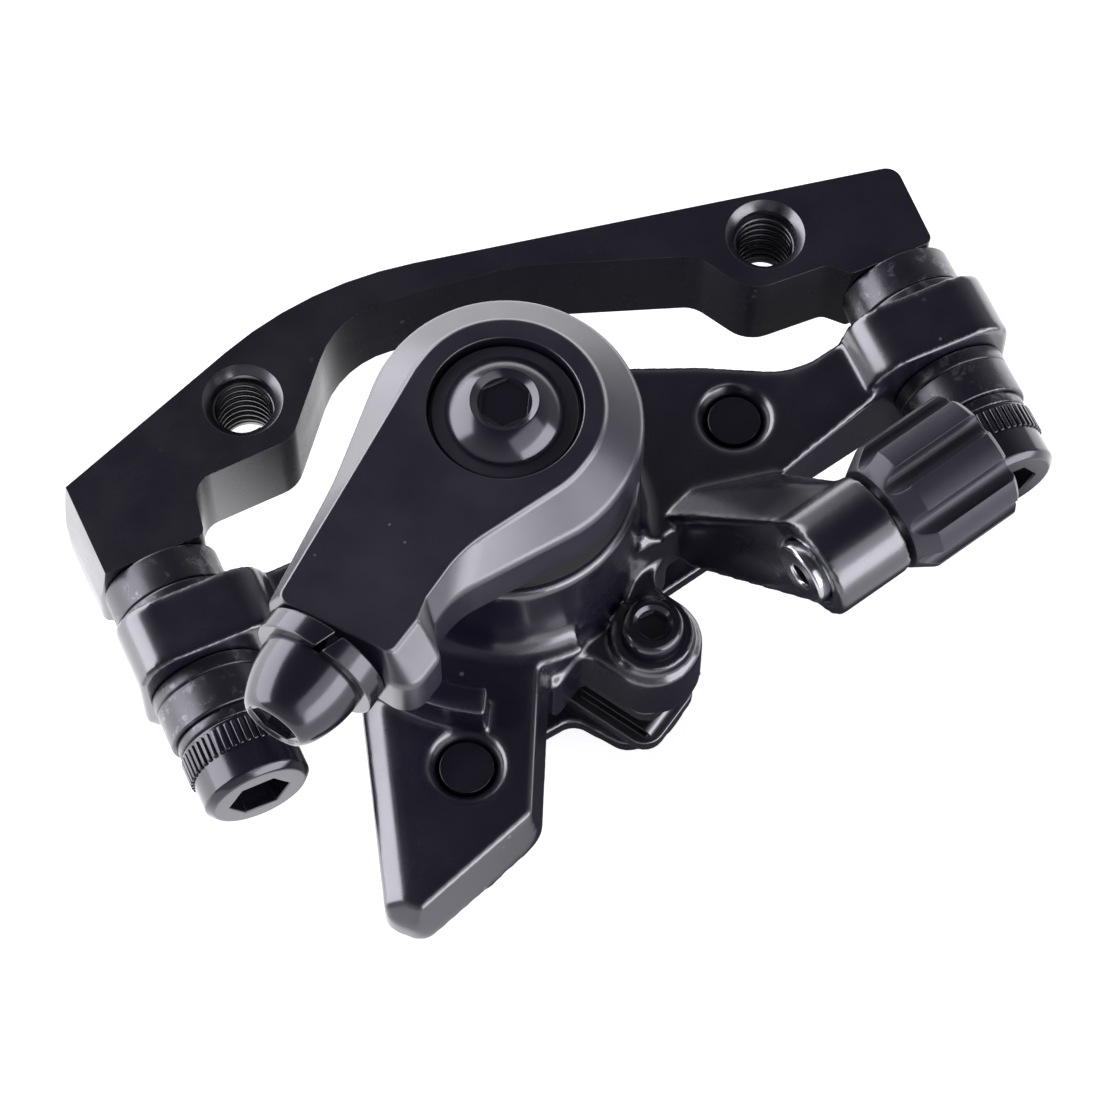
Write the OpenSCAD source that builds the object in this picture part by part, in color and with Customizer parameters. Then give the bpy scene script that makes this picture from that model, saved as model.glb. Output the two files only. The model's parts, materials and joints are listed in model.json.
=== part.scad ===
// Cable-pulled bicycle disc brake caliper on a frame-to-post adapter.
// The origin lies midway between the two frame mount holes, on the outboard face of the adapter.
// X runs along those holes, Y points towards the hub and Z points outboard, along the arm's pivot.

/* [Adapter] */
// Spacing of the two threaded frame mount holes
frame_pitch = 51; // [50.5:0.5:51.5]
// Bore of the threaded frame mount holes
frame_bore = 5; // [4.6:0.1:5.4]
// Spacing of the two post mount bolts
post_pitch = 74; // [73:0.5:75]
// Thickness of the adapter
bracket_t = 10; // [9.5:0.5:11]
// Tilt of the post line against the frame mount line, degrees
post_tilt = 4.5; // [4.2:0.1:4.8]
// Where the first post bolt's axis crosses the frame mount line
post_x = -38.5; // [-39:0.1:-38]
// Distance from the frame mount line to the post faces
post_face = 12.1; // [11.8:0.1:12.4]
// Width of each post
post_w = 9.4; // [9:0.1:10]
// Width of the adapter's arch at its thinnest
arch_w = 2.7; // [2.3:0.1:3.2]
// Depth of the threaded holes in the posts
post_bore_depth = 8; // [7.5:0.1:8.4]

/* [Post bolts and washers] */
// Thread diameter of the post bolts
post_bolt_d = 5.9; // [5.6:0.1:5.9]
// Clearance of the post bolt in the adapter, all round
thread_gap = 0.05; // [0.03:0.01:0.1]
// Length of the post bolts under the head
post_bolt_l = 25; // [24.5:0.5:25.5]
// Head diameter of the post bolts
post_head_d = 10; // [9.4:0.1:10.4]
// Head height of the post bolts
post_head_h = 6; // [5.5:0.1:6.5]
// Outer diameter of the spherical washers
cup_d = 10.9; // [10.4:0.1:11.4]
// Bore of the washers
cup_bore = 6.6; // [6.4:0.1:7]
// Height of each upper spherical washer
cup_h = 2.4; // [2.2:0.1:2.6]
// Height of each lower spherical washer
dish_h = 2.5; // [2.3:0.1:2.7]
// Height of the flat washers
flat_h = 1.1; // [0.9:0.1:1.3]
// Rise of the ball surface between a pair of spherical washers
ball_rise = 1.1; // [0.8:0.1:1.3]

/* [Caliper body] */
// Place of the arm's pivot along X
pivot_x = -6.7; // [-7:0.1:-6.4]
// Place of the arm's pivot along Y
pivot_y = -19.2; // [-19.5:0.1:-18.9]
// Turn of the caliper against the frame mount line, degrees
caliper_turn = 35; // [34.5:0.1:35.5]
// Height of the body's outboard face
face_z = -2; // [-2.4:0.1:-1.6]
// Thickness of the body plate
plate_t = 7.4; // [7:0.1:7.8]
// Thickness of the pointed lug
lug_t = 5; // [4.5:0.1:5.5]
// Thickness of the post ears along the bolt
ear_t = 6.4; // [6:0.1:6.8]
// Height of the post ears along Z
ear_h = 14; // [13:0.5:14.5]
// Length of the slots in the ears, beyond the bolt's own width
slot_travel = 3; // [2.6:0.1:3.4]
// Clearance between each face of an ear and its washer
ear_gap = 0.05; // [0.03:0.01:0.1]
// Outer diameter of the round drive housing
tower_d = 23.8; // [23.4:0.1:24.2]
// Bore of the drive housing
tower_bore = 18; // [17.6:0.1:18.4]
// Height of the top of the drive housing
tower_z = 8.5; // [8.3:0.1:8.8]
// Thickness of the cap over the drive housing
cap_t = 2.6; // [2.4:0.1:2.8]
// Half of the distance between the body bolts
bolt_half = 21; // [20.8:0.1:21.2]
// Distance of the body bolts from the pivot, away from the hub
bolt_out = 10.5; // [10.3:0.1:10.7]
// Thread diameter of the body bolts
body_bolt_d = 4.9; // [4.6:0.1:5]
// Radius of the posts round the body bolts
bolt_post_r = 3.7; // [3.6:0.1:4]
// Height of the disc's middle plane
disc_z = -18; // [-18.1:0.1:-17.9]
// Height of the outer half's inboard face above the disc's middle plane
half_gap = 4.4; // [4.4:0.1:4.6]
// Thickness of the inner half's flange
inner_t = 2; // [1.9:0.1:2.2]
// Height of the adjuster housing on the inner half
inner_boss_h = 6; // [5.6:0.1:6.4]

/* [Arm and drive] */
// Height of the arm's top face
arm_z = 21.5; // [21.3:0.1:21.8]
// Thickness of the arm
arm_t = 7.8; // [7.6:0.1:8]
// Radius of the arm round its pivot
arm_r = 12; // [11.8:0.1:12.2]
// Width of the wide bevel round the arm's pivot
arm_bevel = 3.5; // [3.3:0.1:3.7]
// Drop of the wide bevel
arm_drop = 2.8; // [2.6:0.1:3]
// Length of the arm from its pivot to its end face
arm_l = 25.7; // [25.3:0.1:26.1]
// Slant of the arm's end face and the pinch bolt on it, degrees
face_slant = 2; // [1:0.5:4]
// Slant of the top edge above that face, degrees
edge_slant = 8; // [6:0.5:10]
// Diameter of the recess round the pivot bolt
recess_d = 13.4; // [13:0.1:13.8]
// Depth of that recess
recess_h = 1.6; // [1.5:0.1:1.8]
// Diameter of the drive shaft
shaft_d = 9.6; // [9.4:0.1:9.8]
// Running clearance of the turning and sliding pieces, all round
run_gap = 0.08; // [0.05:0.01:0.1]
// Thread diameter of the pivot bolt
pivot_bolt_d = 5.9; // [5.6:0.1:6]
// Head diameter of the pivot bolt
pivot_head_d = 10.4; // [10:0.1:10.8]
// Head height of the pivot bolt
pivot_head_h = 3.3; // [3:0.1:3.6]
// Radius of the dome on the pivot bolt's head
pivot_dome_r = 6.4; // [6.2:0.1:7]
// Length of the pivot bolt under its head
pivot_bolt_l = 11; // [10.4:0.1:11.4]
// Diameter of the drive flange and the piston
piston_d = 17.4; // [17.2:0.1:17.5]
// Thickness of the drive flange
flange_t = 3.5; // [3.3:0.1:3.7]
// Diameter of the ramp balls
ball_d = 4; // [3.8:0.1:4.1]
// Radius of the ball track
track_r = 6.3; // [6.2:0.1:6.4]
// Number of ramp balls
ball_count = 3; // [3:1:4]
// Space between the drive flange and the piston
ball_space = 2.2; // [2.1:0.1:2.4]
// Wire diameter of the return spring
wire_d = 1.4; // [1.2:0.1:1.4]
// Middle radius of the return spring's coils
coil_r = 8; // [7.8:0.1:8.2]
// Number of coils of the return spring
coil_turns = 3; // [2:1:3]
// Rise of the return spring in one coil
coil_pitch = 1.95; // [1.9:0.05:2]
// Wall of the dust cover
cover_wall = 0.9; // [0.8:0.1:1]

/* [Cable] */
// Place of the cable stop's near end along the caliper
stop_x = 6.6; // [6.4:0.1:6.8]
// Place of the cable stop's near end across the caliper
stop_y = -27.4; // [-27.6:0.1:-27.2]
// Height of the cable stop's axis
stop_z = 11; // [10.8:0.1:11.2]
// Direction of the cable stop, degrees
stop_turn = -18; // [-19:0.5:-17]
// Diameter of the cable stop
stop_d = 9.8; // [9.6:0.1:10.2]
// Length of the cable stop
stop_l = 7.6; // [7.4:0.1:7.8]
// Thread diameter of the barrel adjuster
barrel_d = 5.9; // [5.7:0.1:6]
// Bore for the cable through the barrel adjuster
cable_bore = 2.2; // [2:0.1:2.4]
// Length of the barrel adjuster's knob
knob_l = 10.8; // [10.4:0.1:11.2]
// Diameter of the knob over its ribs
knob_d = 12.4; // [12:0.1:12.8]
// Number of ribs round the knob
knob_ribs = 8; // [6:1:9]
// Bore of the socket for the cable housing
housing_bore = 5.2; // [5:0.1:5.4]
// Diameter of the washer under the cable pinch bolt
pinch_d = 11.6; // [11.2:0.1:12]
// Thickness of that washer
pinch_t = 2.1; // [1.9:0.1:2.3]
// Height of the domed head of the pinch bolt
dome_h = 6; // [5.7:0.1:6.3]
// Diameter of the domed head
dome_d = 9.4; // [9.1:0.1:9.7]

/* [Pads] */
// Width of the pads
pad_w = 22; // [21:0.5:22]
// Height of the pads
pad_h = 14.6; // [14:0.2:15]
// Width of the pad tabs and the pad fingers
tab_w = 8.4; // [8:0.1:8.8]
// Thickness of the pad plates
plate_pad_t = 1.6; // [1.5:0.1:1.6]
// Thickness of the friction linings
lining_t = 1.6; // [1.4:0.1:1.6]
// Distance of the pad pin from the pivot, away from the hub
pin_out = 16; // [15.8:0.1:16.2]
// Thread diameter of the pad pin
pin_d = 3.9; // [3.7:0.1:4]
// Clearance of the pads on the pad pin, all round
pin_gap = 0.3; // [0.25:0.05:0.35]
// Thickness of the pad spring's leaf
leaf_t = 0.4; // [0.3:0.1:0.4]
// Diameter of the pad adjuster screw
adjuster_d = 13.8; // [13.4:0.1:14]

/* [Hidden] */
$fn = 48;
// A cut runs past the face that it opens by this much
cut = 1;
half_w = post_w / 2;
bolt_r = post_bolt_d / 2;
tower_r = tower_d / 2;
bolt_z = -bracket_t / 2;
// Places along the post bolts, from the frame mount line
cup_q = post_face + cup_h;
ear_q = post_face + 2 * cup_h;
ear_end_q = ear_q + ear_t + 2 * ear_gap;
dish_q = ear_end_q + dish_h;
flat_q = ear_end_q + 2 * dish_h;
head_q = flat_q + flat_h;
// Heights through the caliper
plate_z = face_z - plate_t;
lug_z = face_z - lug_t;
outer_low_z = disc_z + half_gap;
inner_top_z = disc_z - half_gap;
inner_low_z = inner_top_z - inner_t;
inner_boss_z = inner_low_z - inner_boss_h;
cap_z = tower_z - cap_t;
thrust_t = 1;
// End play of the drive shaft under its thrust washer
end_gap = 0.05;
flange_z = cap_z - thrust_t - end_gap - flange_t;
ball_z = flange_z - ball_space / 2;
piston_z = flange_z - ball_space;
arm_low_z = arm_z - arm_t;
washer_t = 0.8;
seat_z = arm_z - recess_h;
hex_r = shaft_d / 2;
bush_r = shaft_d / 2 + 1.6;
hex_gap = 0.06;
recess_in_h = 2.8;
recess_in_r = 10.6;
pin_head_z = face_z - 0.6 * lug_t;
pin_head_h = 0.4 * lug_t;
pin_head_r = 0.72 * pin_d;
finger_z = face_z - 0.9 * lug_t;
finger_w = tab_w + 0.7;
pinch_z = arm_low_z + arm_t / 2;
pinch_thread_d = 5.8;
pad_gap = 0.05;
bolt_recess_d = 6.6;
bolt_recess_h = 2.4;
// Clearance of a bolt in a plain hole, all round
bolt_gap = 0.2;
bolt_head_d = 7;
bolt_head_h = 2.4;
// Height of a body bolt's end above the floor of its recess
bolt_stand = 1.5;

// Points of an arc about c
function arc(c, r, a0, a1, n) =
    [for (i = [0 : n]) c + r * [cos(a0 + (a1 - a0) * i / n), sin(a0 + (a1 - a0) * i / n)]];
function unit(v) = v / norm(v);
function turn(u, v) = u[0] * v[1] - u[1] * v[0];
// One rounded corner of an outline: b lies between a and c and has radius b[2]
function corner(a, b, c, n) =
    let (p = [b[0], b[1]],
         u = unit([a[0], a[1]] - p),
         v = unit([c[0], c[1]] - p),
         half = acos(u * v) / 2,
         m = p + unit(u + v) * b[2] / sin(half),
         s = p + u * b[2] / tan(half) - m,
         a0 = atan2(s[1], s[0]),
         sweep = (turn(-u, v) > 0 ? 1 : -1) * (180 - 2 * half))
    arc(m, b[2], a0, a0 + sweep, n);
// A closed outline from corners of [x, y, radius], anticlockwise
function outline(p, n = 6) =
    [for (i = [0 : len(p) - 1])
        each corner(p[(i + len(p) - 1) % len(p)], p[i], p[(i + 1) % len(p)], n)];

// A solid through outlines of equal length, given as [height, points] from the lowest up
module loft(rings) {
    n = len(rings[0][1]);
    k = len(rings);
    points = [for (r = rings) for (p = r[1]) [p[0], p[1], r[0]]];
    sides = [for (j = [0 : k - 2]) for (i = [0 : n - 1]) let (m = (i + 1) % n)
        each [[j * n + i, (j + 1) * n + i, (j + 1) * n + m], [j * n + i, (j + 1) * n + m, j * n + m]]];
    low = [[for (i = [0 : n - 1]) i]];
    top = [[for (i = [n - 1 : -1 : 0]) (k - 1) * n + i]];
    polyhedron(points, concat(low, sides, top), convexity = 8);
}

// Rounded rectangle from corner a to corner b
module box2d(a, b, r) {
    polygon(outline([[b[0], a[1], r], [b[0], b[1], r], [a[0], b[1], r], [a[0], a[1], r]]));
}

// Places the children on a post bolt, with local Z along the bolt away from the adapter
module on_post(i) {
    translate([post_x + i * post_pitch * cos(post_tilt), i * post_pitch * sin(post_tilt), bolt_z])
        rotate([0, 0, post_tilt])
            rotate([90, 0, 0])
                children();
}

module on_posts() {
    for (i = [0, 1]) on_post(i) children();
}

// Places the children on the pivot, with local X along the body bolts and local Y towards the hub
module on_caliper() {
    translate([pivot_x, pivot_y, 0]) rotate([0, 0, caliper_turn]) children();
}

// Places the children on the two body bolts
module on_bolts() {
    on_caliper() for (s = [-1, 1]) translate([s * bolt_half, -bolt_out, 0]) children();
}

module on_pin() {
    on_caliper() translate([0, -pin_out, 0]) children();
}

// Places the children on the cable stop's axis, with local Z along the cable housing
module on_stop() {
    on_caliper() translate([stop_x, stop_y, stop_z]) rotate([0, 0, stop_turn]) rotate([0, 90, 0]) children();
}

// Places the children on the arm's end face, with local Z along the pinch bolt
module on_pinch() {
    on_caliper() translate([-arm_l, 0, pinch_z])
        rotate([0, 0, 180 + face_slant]) rotate([0, 90, 0]) children();
}

module tube(r_out, r_in, h) {
    difference() {
        cylinder(r = r_out, h = h);
        translate([0, 0, -cut]) cylinder(r = r_in, h = h + 2 * cut);
    }
}

// Hexagon socket, w across its flats
module socket(w, h) {
    cylinder(d = w / cos(30), h = h, $fn = 6);
}

// Point on the post line, p along the posts and q along the bolts
function at_post(i, p, q) =
    [post_x + (i * post_pitch + p) * cos(post_tilt) + q * sin(post_tilt),
     (i * post_pitch + p) * sin(post_tilt) - q * cos(post_tilt)];

// Outline of the adapter: the arch with a lobe at each frame mount hole and a post at each end
hole_x = frame_pitch / 2;
lobe = 5.2;
l_in = at_post(0, half_w, post_face);
l_out = at_post(0, -half_w - 0.9, post_face);
r_in = at_post(1, -half_w, post_face);
r_out = at_post(1, half_w - 1, post_face);
// Edge of the bracket's sloping near end, how far it runs out, and over what height
near_end = [[l_out[0] - 1, -3.4, 1.2], [l_out[0] - 0.2, l_out[1], 0.8]];
end_run = 0.9;
end_drop = 6;
bracket_corners = [
    near_end[1],
    [l_in[0], l_in[1], 0.8],
    [l_in[0] + 0.6, -lobe - 1.2, 2.2],
    [3 - hole_x, -lobe - 0.1, 3],
    [10.8 - hole_x, 8.15 - arch_w, 9],
    [2.5, 7.4 - arch_w, 20],
    [hole_x - 6.8, 0, 3],
    [hole_x - 3.4, -lobe, 3.6],
    [r_in[0] - 1.8, 0.2 - lobe, 1.4],
    [r_in[0], r_in[1], 0.5],
    [r_out[0], r_out[1], 0.8],
    [r_out[0] - 0.3, 2.7, 1.5],
    [9.2 - hole_x, 9.4, 36],
    near_end[0]];

module adapter_bracket() {
    color("#1d1c22") difference() {
        translate([0, 0, -bracket_t]) linear_extrude(bracket_t) polygon(outline(bracket_corners));
        for (s = [-1, 1]) translate([s * hole_x, 0, -bracket_t - cut])
            cylinder(d = frame_bore, h = bracket_t + 2 * cut);
        on_posts() translate([0, 0, post_face - post_bore_depth])
            cylinder(r = bolt_r + thread_gap, h = post_bore_depth + cut);
        bevel_cut(near_end[0], near_end[1], 0, end_run, end_drop);
    }
}

module post_mount_bolts() {
    color("#17171a") on_posts() difference() {
        union() {
            translate([0, 0, head_q - post_bolt_l]) cylinder(r = bolt_r, h = post_bolt_l);
            translate([0, 0, head_q]) cylinder(d = post_head_d, h = post_head_h - 0.6);
            translate([0, 0, head_q + post_head_h - 0.6])
                cylinder(d1 = post_head_d, d2 = post_head_d - 1.2, h = 0.6);
        }
        translate([0, 0, head_q + post_head_h - 3]) socket(5, 3 + cut);
    }
}

// Radius of the ball surface that a spherical washer pair shares
ball_r = (pow(cup_d / 2, 2) + pow(ball_rise, 2)) / (2 * ball_rise);

// Washer with a domed upper face, the dome's edge level with its own rim
module convex_washer(h) {
    difference() {
        intersection() {
            cylinder(d = cup_d, h = h);
            translate([0, 0, h - ball_r]) sphere(r = ball_r, $fn = 96);
        }
        translate([0, 0, -cut]) cylinder(d = cup_bore, h = h + 2 * cut);
    }
}

// Washer with a hollow lower face that takes the dome
module concave_washer(h) {
    difference() {
        translate([0, 0, -ball_rise]) cylinder(d = cup_d, h = h + ball_rise);
        translate([0, 0, -ball_r]) sphere(r = ball_r, $fn = 96);
        translate([0, 0, -ball_rise - cut]) cylinder(d = cup_bore, h = h + ball_rise + 2 * cut);
    }
}

module upper_concave_washers() {
    color("#1b1b1e") on_posts() translate([0, 0, cup_q]) rotate([180, 0, 0]) concave_washer(cup_h);
}

module upper_convex_washers() {
    color("#1b1b1e") on_posts() translate([0, 0, ear_q]) rotate([180, 0, 0]) convex_washer(cup_h);
}

module lower_convex_washers() {
    color("#1b1b1e") on_posts() translate([0, 0, ear_end_q]) convex_washer(dish_h);
}

module lower_concave_washers() {
    color("#1b1b1e") on_posts() translate([0, 0, dish_q]) concave_washer(dish_h);
}

module flat_washers() {
    color("#1b1b1e") on_posts() translate([0, 0, flat_q]) tube(cup_d / 2 - 0.4, bolt_r + bolt_gap, flat_h);
}

// Outline of the body plate round the pivot, with the arm to the far ear
plate_corners = [
    [bolt_half + 10.4, -bolt_out - 5, 0.6], [bolt_half + 9.8, -bolt_out - 3.4, 0.5],
    [bolt_half + 6.3, -bolt_out - 0.7, 8], [bolt_half + 2.5, 5.5 - bolt_out, 10], [14, 8, 4],
    [2, tower_r + 0.4, 4], [-10, 8.6, 3], [-13, -2, 3], [-8, 0.6 - tower_r, 2], [5, 0.6 - tower_r, 2],
    [11, -13.6, 3], [bolt_half - 2.5, -bolt_out - 6.8, 2], [bolt_half + 3.6, -bolt_out - 8.2, 0.6]];
// Outline of the pointed lug, with the width and depth of the slope on each of its edges from the second
// corner on
lug_corners = [
    [-5, 4, 1], [-17, 4.8, 2], [-bolt_half - 15.2, -bolt_out - 2.2, 1.6],
    [-bolt_half - 14.4, -bolt_out - 5.8, 2], [-bolt_half - 0.6, -bolt_out - 8.6, 3.5],
    [-9.8, -11.5, 4], [-5, -11.3, 0.4]];
lug_bevel = [1.9, 1.5, 1.3, 1];
lug_drop = [1.2, 0.5 * lug_t, 0.85 * lug_t, 0.85 * lug_t];

// Outline of the finger that holds the pad pin
finger_r = finger_w / 2;
finger_corners = [
    [8, -8, 0.4], [-9, -8, 0.4], [-9, -11.8, 0.4], [-finger_r, -11.8, 1],
    [-finger_r, -pin_out - finger_r, finger_r - 0.1], [finger_r, -pin_out - finger_r, finger_r - 0.1],
    [finger_r, -12.4, 1.6], [8, -12.4, 0.4]];
// Outline of the inner half's finger
inner_finger = [
    [8, -8, 0.4], [-9, -8, 0.4], [-8.4, -9.4, 0.6], [-finger_r - 0.4, -10.9, 2],
    [-finger_r, -pin_out - 0.8, 3], [-0.6, -pin_out - 2.8, 3.5], [finger_r, -pin_out - 2.6, 3],
    [finger_r, -12.4, 1.6], [8, -12.4, 0.4]];
ear_in = 8.2;
ear_out = 6.1;
slot_r = cup_bore / 2;
// Bars that guide the pads: width, height past the body's face and clearance to the pads
guide_w = 2.4;
guide_h = 2.6;
guide_gap = 0.4;
// Thickness of the bay that carries the guides on the outer half
bay_t = 2.4;
guide_y = -7;
guide_l = 12;
// Feet of blended necks lie this far inside the pieces that they join
inside = 0.15;

// One post ear, whose inner end reaches towards the pivot
module ear(i) {
    a = i == 0 ? -ear_out : -ear_in;
    b = i == 0 ? ear_in : ear_out;
    on_post(i) translate([0, 0, ear_q + ear_gap]) linear_extrude(ear_t)
        box2d([a, -ear_h / 2], [b, ear_h / 2], 3.6);
}

// The inner end of an ear, where its neck starts, low enough for the ear to stand above the neck
module ear_end(i) {
    a = i == 0 ? ear_in - 3 : 1 - ear_in;
    on_post(i) translate([a, 0, ear_q + ear_gap + inside]) linear_extrude(ear_t - 2 * inside)
        box2d([0, 0.6 - ear_h / 2], [2, face_z + 0.6 - bolt_z], 0.9);
}

// Two bars beside the pads, h high from z
module pad_guides(z, h) {
    for (s = [0, 1]) mirror([s, 0, 0]) translate([pad_w / 2 + guide_gap, guide_y, z])
        cube([guide_w, guide_l, h]);
}

// Cuts a bevel along the edge from a to b, with the solid on its left, down from height z
module bevel_cut(a, b, z, run, drop) {
    d = [b[0] - a[0], b[1] - a[1]];
    slope = drop / run;
    translate([a[0], a[1], z]) rotate([0, 0, atan2(d[1], d[0])]) translate([-3, 0, 0]) rotate([90, 0, 90])
        linear_extrude(norm(d) + 6)
            polygon([[-2, -drop - 2 * slope], [run + 0.5, 0.5 * slope], [-2, 0.5 * slope]]);
}

// Pointed lug with sloping edges
module lug() {
    difference() {
        translate([0, 0, lug_z]) linear_extrude(lug_t) polygon(outline(lug_corners));
        for (i = [0 : 3])
            bevel_cut(lug_corners[i + 1], lug_corners[i + 2], face_z, lug_bevel[i], lug_drop[i]);
    }
}

module outer_solid() {
    for (i = [0, 1]) ear(i);
    hull() {
        ear_end(0);
        on_caliper() translate([-6, 4, plate_z + inside])
            cylinder(r = 4.6, h = plate_t - 2 * inside, $fn = 32);
    }
    hull() {
        ear_end(1);
        on_caliper() translate([bolt_half + 3, -bolt_out - 4.3, plate_z + inside])
            cylinder(r = 3.7, h = plate_t - 2 * inside, $fn = 32);
    }
    on_caliper() {
        translate([0, 0, plate_z]) linear_extrude(plate_t) polygon(outline(plate_corners));
        lug();
        translate([0, 0, outer_low_z]) cylinder(d = tower_d, h = tower_z - outer_low_z - 0.5);
        translate([0, 0, tower_z - 0.5]) cylinder(d1 = tower_d, d2 = tower_d - 1, h = 0.5);
        translate([0, 0, outer_low_z]) linear_extrude(finger_z - outer_low_z)
            polygon(outline(finger_corners));
        // curved stop rib for the arm's travel
        translate([0, 0, face_z - 0.5]) linear_extrude(4.6)
            polygon(concat(arc([0, 0], 20.3, 180, 210, 10), arc([0, 0], 17.6, 210, 180, 10)));
        // guides beside the pads, on a bay across the drive housing
        pad_guides(outer_low_z - guide_h, guide_h + bay_t);
        translate([-pad_w / 2 - guide_gap - guide_w, guide_y, outer_low_z])
            cube([pad_w + 2 * (guide_gap + guide_w), guide_l, bay_t]);
    }
    on_bolts() translate([0, 0, outer_low_z]) cylinder(r = bolt_post_r, h = lug_z - outer_low_z + 1);
    on_pin() translate([0, 0, finger_z - 0.5]) cylinder(r = pin_head_r + 1, h = pin_head_z - finger_z + 0.5);
    // cable stop and the rib that carries it
    on_stop() cylinder(d = stop_d, h = stop_l);
    hull() {
        on_stop() translate([0, 0, 0.6]) cylinder(d = stop_d - 0.6, h = stop_l - 1.2, $fn = 32);
        on_caliper() translate([0, 0, plate_z + 1]) linear_extrude(plate_t - 1 - inside)
            polygon([[9, -11], [12.5, -11.5], [bolt_half - 2.4, -bolt_out - 6.4],
                     [bolt_half - 4, -bolt_out - 8.4], [8.6, -14.5]]);
    }
}

module outer_body() {
    color("#1b1a20") difference() {
        outer_solid();
        on_caliper() {
            translate([0, 0, outer_low_z - cut]) cylinder(d = tower_bore, h = cap_z - outer_low_z + cut);
            translate([0, 0, cap_z - cut]) cylinder(r = bush_r, h = cap_t + 2 * cut);
        }
        on_posts() translate([0, 0, ear_q - cut]) linear_extrude(ear_t + 2 * cut)
            box2d([-slot_r, -slot_r - slot_travel / 2], [slot_r, slot_r + slot_travel / 2], slot_r - 0.01);
        on_bolts() {
            translate([0, 0, outer_low_z - cut])
                cylinder(r = body_bolt_d / 2 + thread_gap, h = face_z - outer_low_z + 2 * cut);
            translate([0, 0, face_z - bolt_recess_h]) cylinder(d = bolt_recess_d, h = bolt_recess_h + cut);
        }
        on_pin() translate([0, 0, outer_low_z - cut])
            cylinder(r = pin_d / 2 + pin_gap, h = pin_head_z - outer_low_z + 2 * cut);
        on_stop() translate([0, 0, -cut]) cylinder(r = barrel_d / 2 + run_gap, h = stop_l + 2 * cut);
    }
}

// Outline of the inner half's flange: a web to each body bolt, a disc behind the pad and a finger
module inner_flange() {
    for (s = [-1, 1]) hull() {
        translate([s * bolt_half, -bolt_out]) circle(r = bolt_post_r - 0.3, $fn = 32);
        circle(r = 6.5, $fn = 32);
    }
    circle(d = tower_d - 2);
    polygon(outline(inner_finger));
}

module inner_body() {
    color("#1b1a20") difference() {
        union() {
            on_caliper() {
                translate([0, 0, inner_low_z]) linear_extrude(inner_t) inner_flange();
                translate([0, 0, inner_boss_z]) cylinder(d = adjuster_d + 4.4, h = inner_boss_h + 0.5);
                pad_guides(inner_low_z + 1, inner_t - 1 + guide_h);
            }
            on_bolts() translate([0, 0, inner_low_z])
                cylinder(r = bolt_post_r, h = outer_low_z - inner_low_z);
        }
        on_caliper() translate([0, 0, inner_boss_z - cut])
            cylinder(r = adjuster_d / 2 + run_gap, h = inner_boss_h + inner_t + 2 * cut);
        on_bolts() translate([0, 0, inner_low_z - cut])
            cylinder(r = body_bolt_d / 2 + bolt_gap, h = outer_low_z - inner_low_z + 2 * cut);
        on_pin() translate([0, 0, inner_low_z - cut])
            cylinder(r = pin_d / 2 + thread_gap, h = inner_t + 2 * cut);
    }
}

module body_bolts() {
    color("#17171a") on_bolts() difference() {
        union() {
            translate([0, 0, inner_low_z])
                cylinder(d = body_bolt_d, h = face_z - bolt_recess_h + bolt_stand - inner_low_z);
            translate([0, 0, inner_low_z - bolt_head_h])
                cylinder(d1 = bolt_head_d - 1.2, d2 = bolt_head_d, h = bolt_head_h);
        }
        translate([0, 0, inner_low_z - bolt_head_h - cut]) socket(3, bolt_head_h - 1 + cut);
    }
}

module shaft_bush() {
    color("#8a6a3a") on_caliper() translate([0, 0, cap_z]) tube(bush_r, shaft_d / 2 + run_gap, cap_t);
}

cover_r = tower_r - 0.7;
cover_gap = 0.3;
module dust_cover() {
    color("#141416") on_caliper() translate([0, 0, tower_z])
        tube(cover_r, cover_r - cover_wall, arm_low_z - tower_z - cover_gap);
}

// Wire of the return spring: rings of six sides along a helix with short straight ends
coil_steps = 24;
coil_low = tower_z + wire_d / 2 + 0.1;
coil_n = coil_turns * coil_steps;
function coil_at(i) =
    let (k = min(max(i, 0), coil_n),
         a = 360 * k / coil_steps,
         run = (i - k) * 0.8)
    [coil_r * cos(a) - run * sin(a), coil_r * sin(a) + run * cos(a), coil_low + coil_pitch * k / coil_steps];
function coil_ring(i) =
    let (k = min(max(i, 0), coil_n),
         a = 360 * k / coil_steps,
         c = coil_at(i))
    [for (j = [0 : 5]) c + wire_d / 2 * [cos(60 * j) * cos(a), cos(60 * j) * sin(a), sin(60 * j)]];
coil_tail = 2;
coil_gap = coil_pitch - wire_d;
echo(least_gap_between_coils = coil_gap);
module return_spring() {
    first = -coil_tail;
    last = coil_n + coil_tail;
    count = last - first + 1;
    points = [for (i = [first : last]) each coil_ring(i)];
    sides = [for (i = [0 : count - 2]) for (j = [0 : 5]) let (m = (j + 1) % 6)
        each [[i * 6 + j, i * 6 + m, i * 6 + 6 + m], [i * 6 + j, i * 6 + 6 + m, i * 6 + 6 + j]]];
    low = [for (j = [1 : 4]) [0, j + 1, j]];
    top = [for (j = [1 : 4]) [(count - 1) * 6, (count - 1) * 6 + j, (count - 1) * 6 + j + 1]];
    color("#9a9aa0") on_caliper() polyhedron(points, concat(low, sides, top), convexity = 10);
}

// Outline of the arm: r is its radius round the pivot, hi and lo are its half widths at the end, mid its
// half width halfway, slant the slope of its end, flare the growth of the corner that the cable passes,
// and rc and neck_r are radii
function arm_outline(r, hi, lo, mid, x_end, slant, flare, rc, neck_r) = outline([
    [r, -r, r - 0.02], [r, r, r - 0.02], [-0.16 * r, r, r - 0.02], [-13, mid, 30],
    [-x_end - hi * tan(slant), hi, 1], [-x_end + (lo + flare) * tan(slant), -lo - flare, rc],
    [4.6 - x_end, -lo - flare, 1.2], [6.6 - x_end, -lo, 1.2],
    [-13 - (r - 8.7) * 0.86, -lo + 0.2, neck_r], [-0.26 * r, -r, r - 0.02]], 8);

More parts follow.
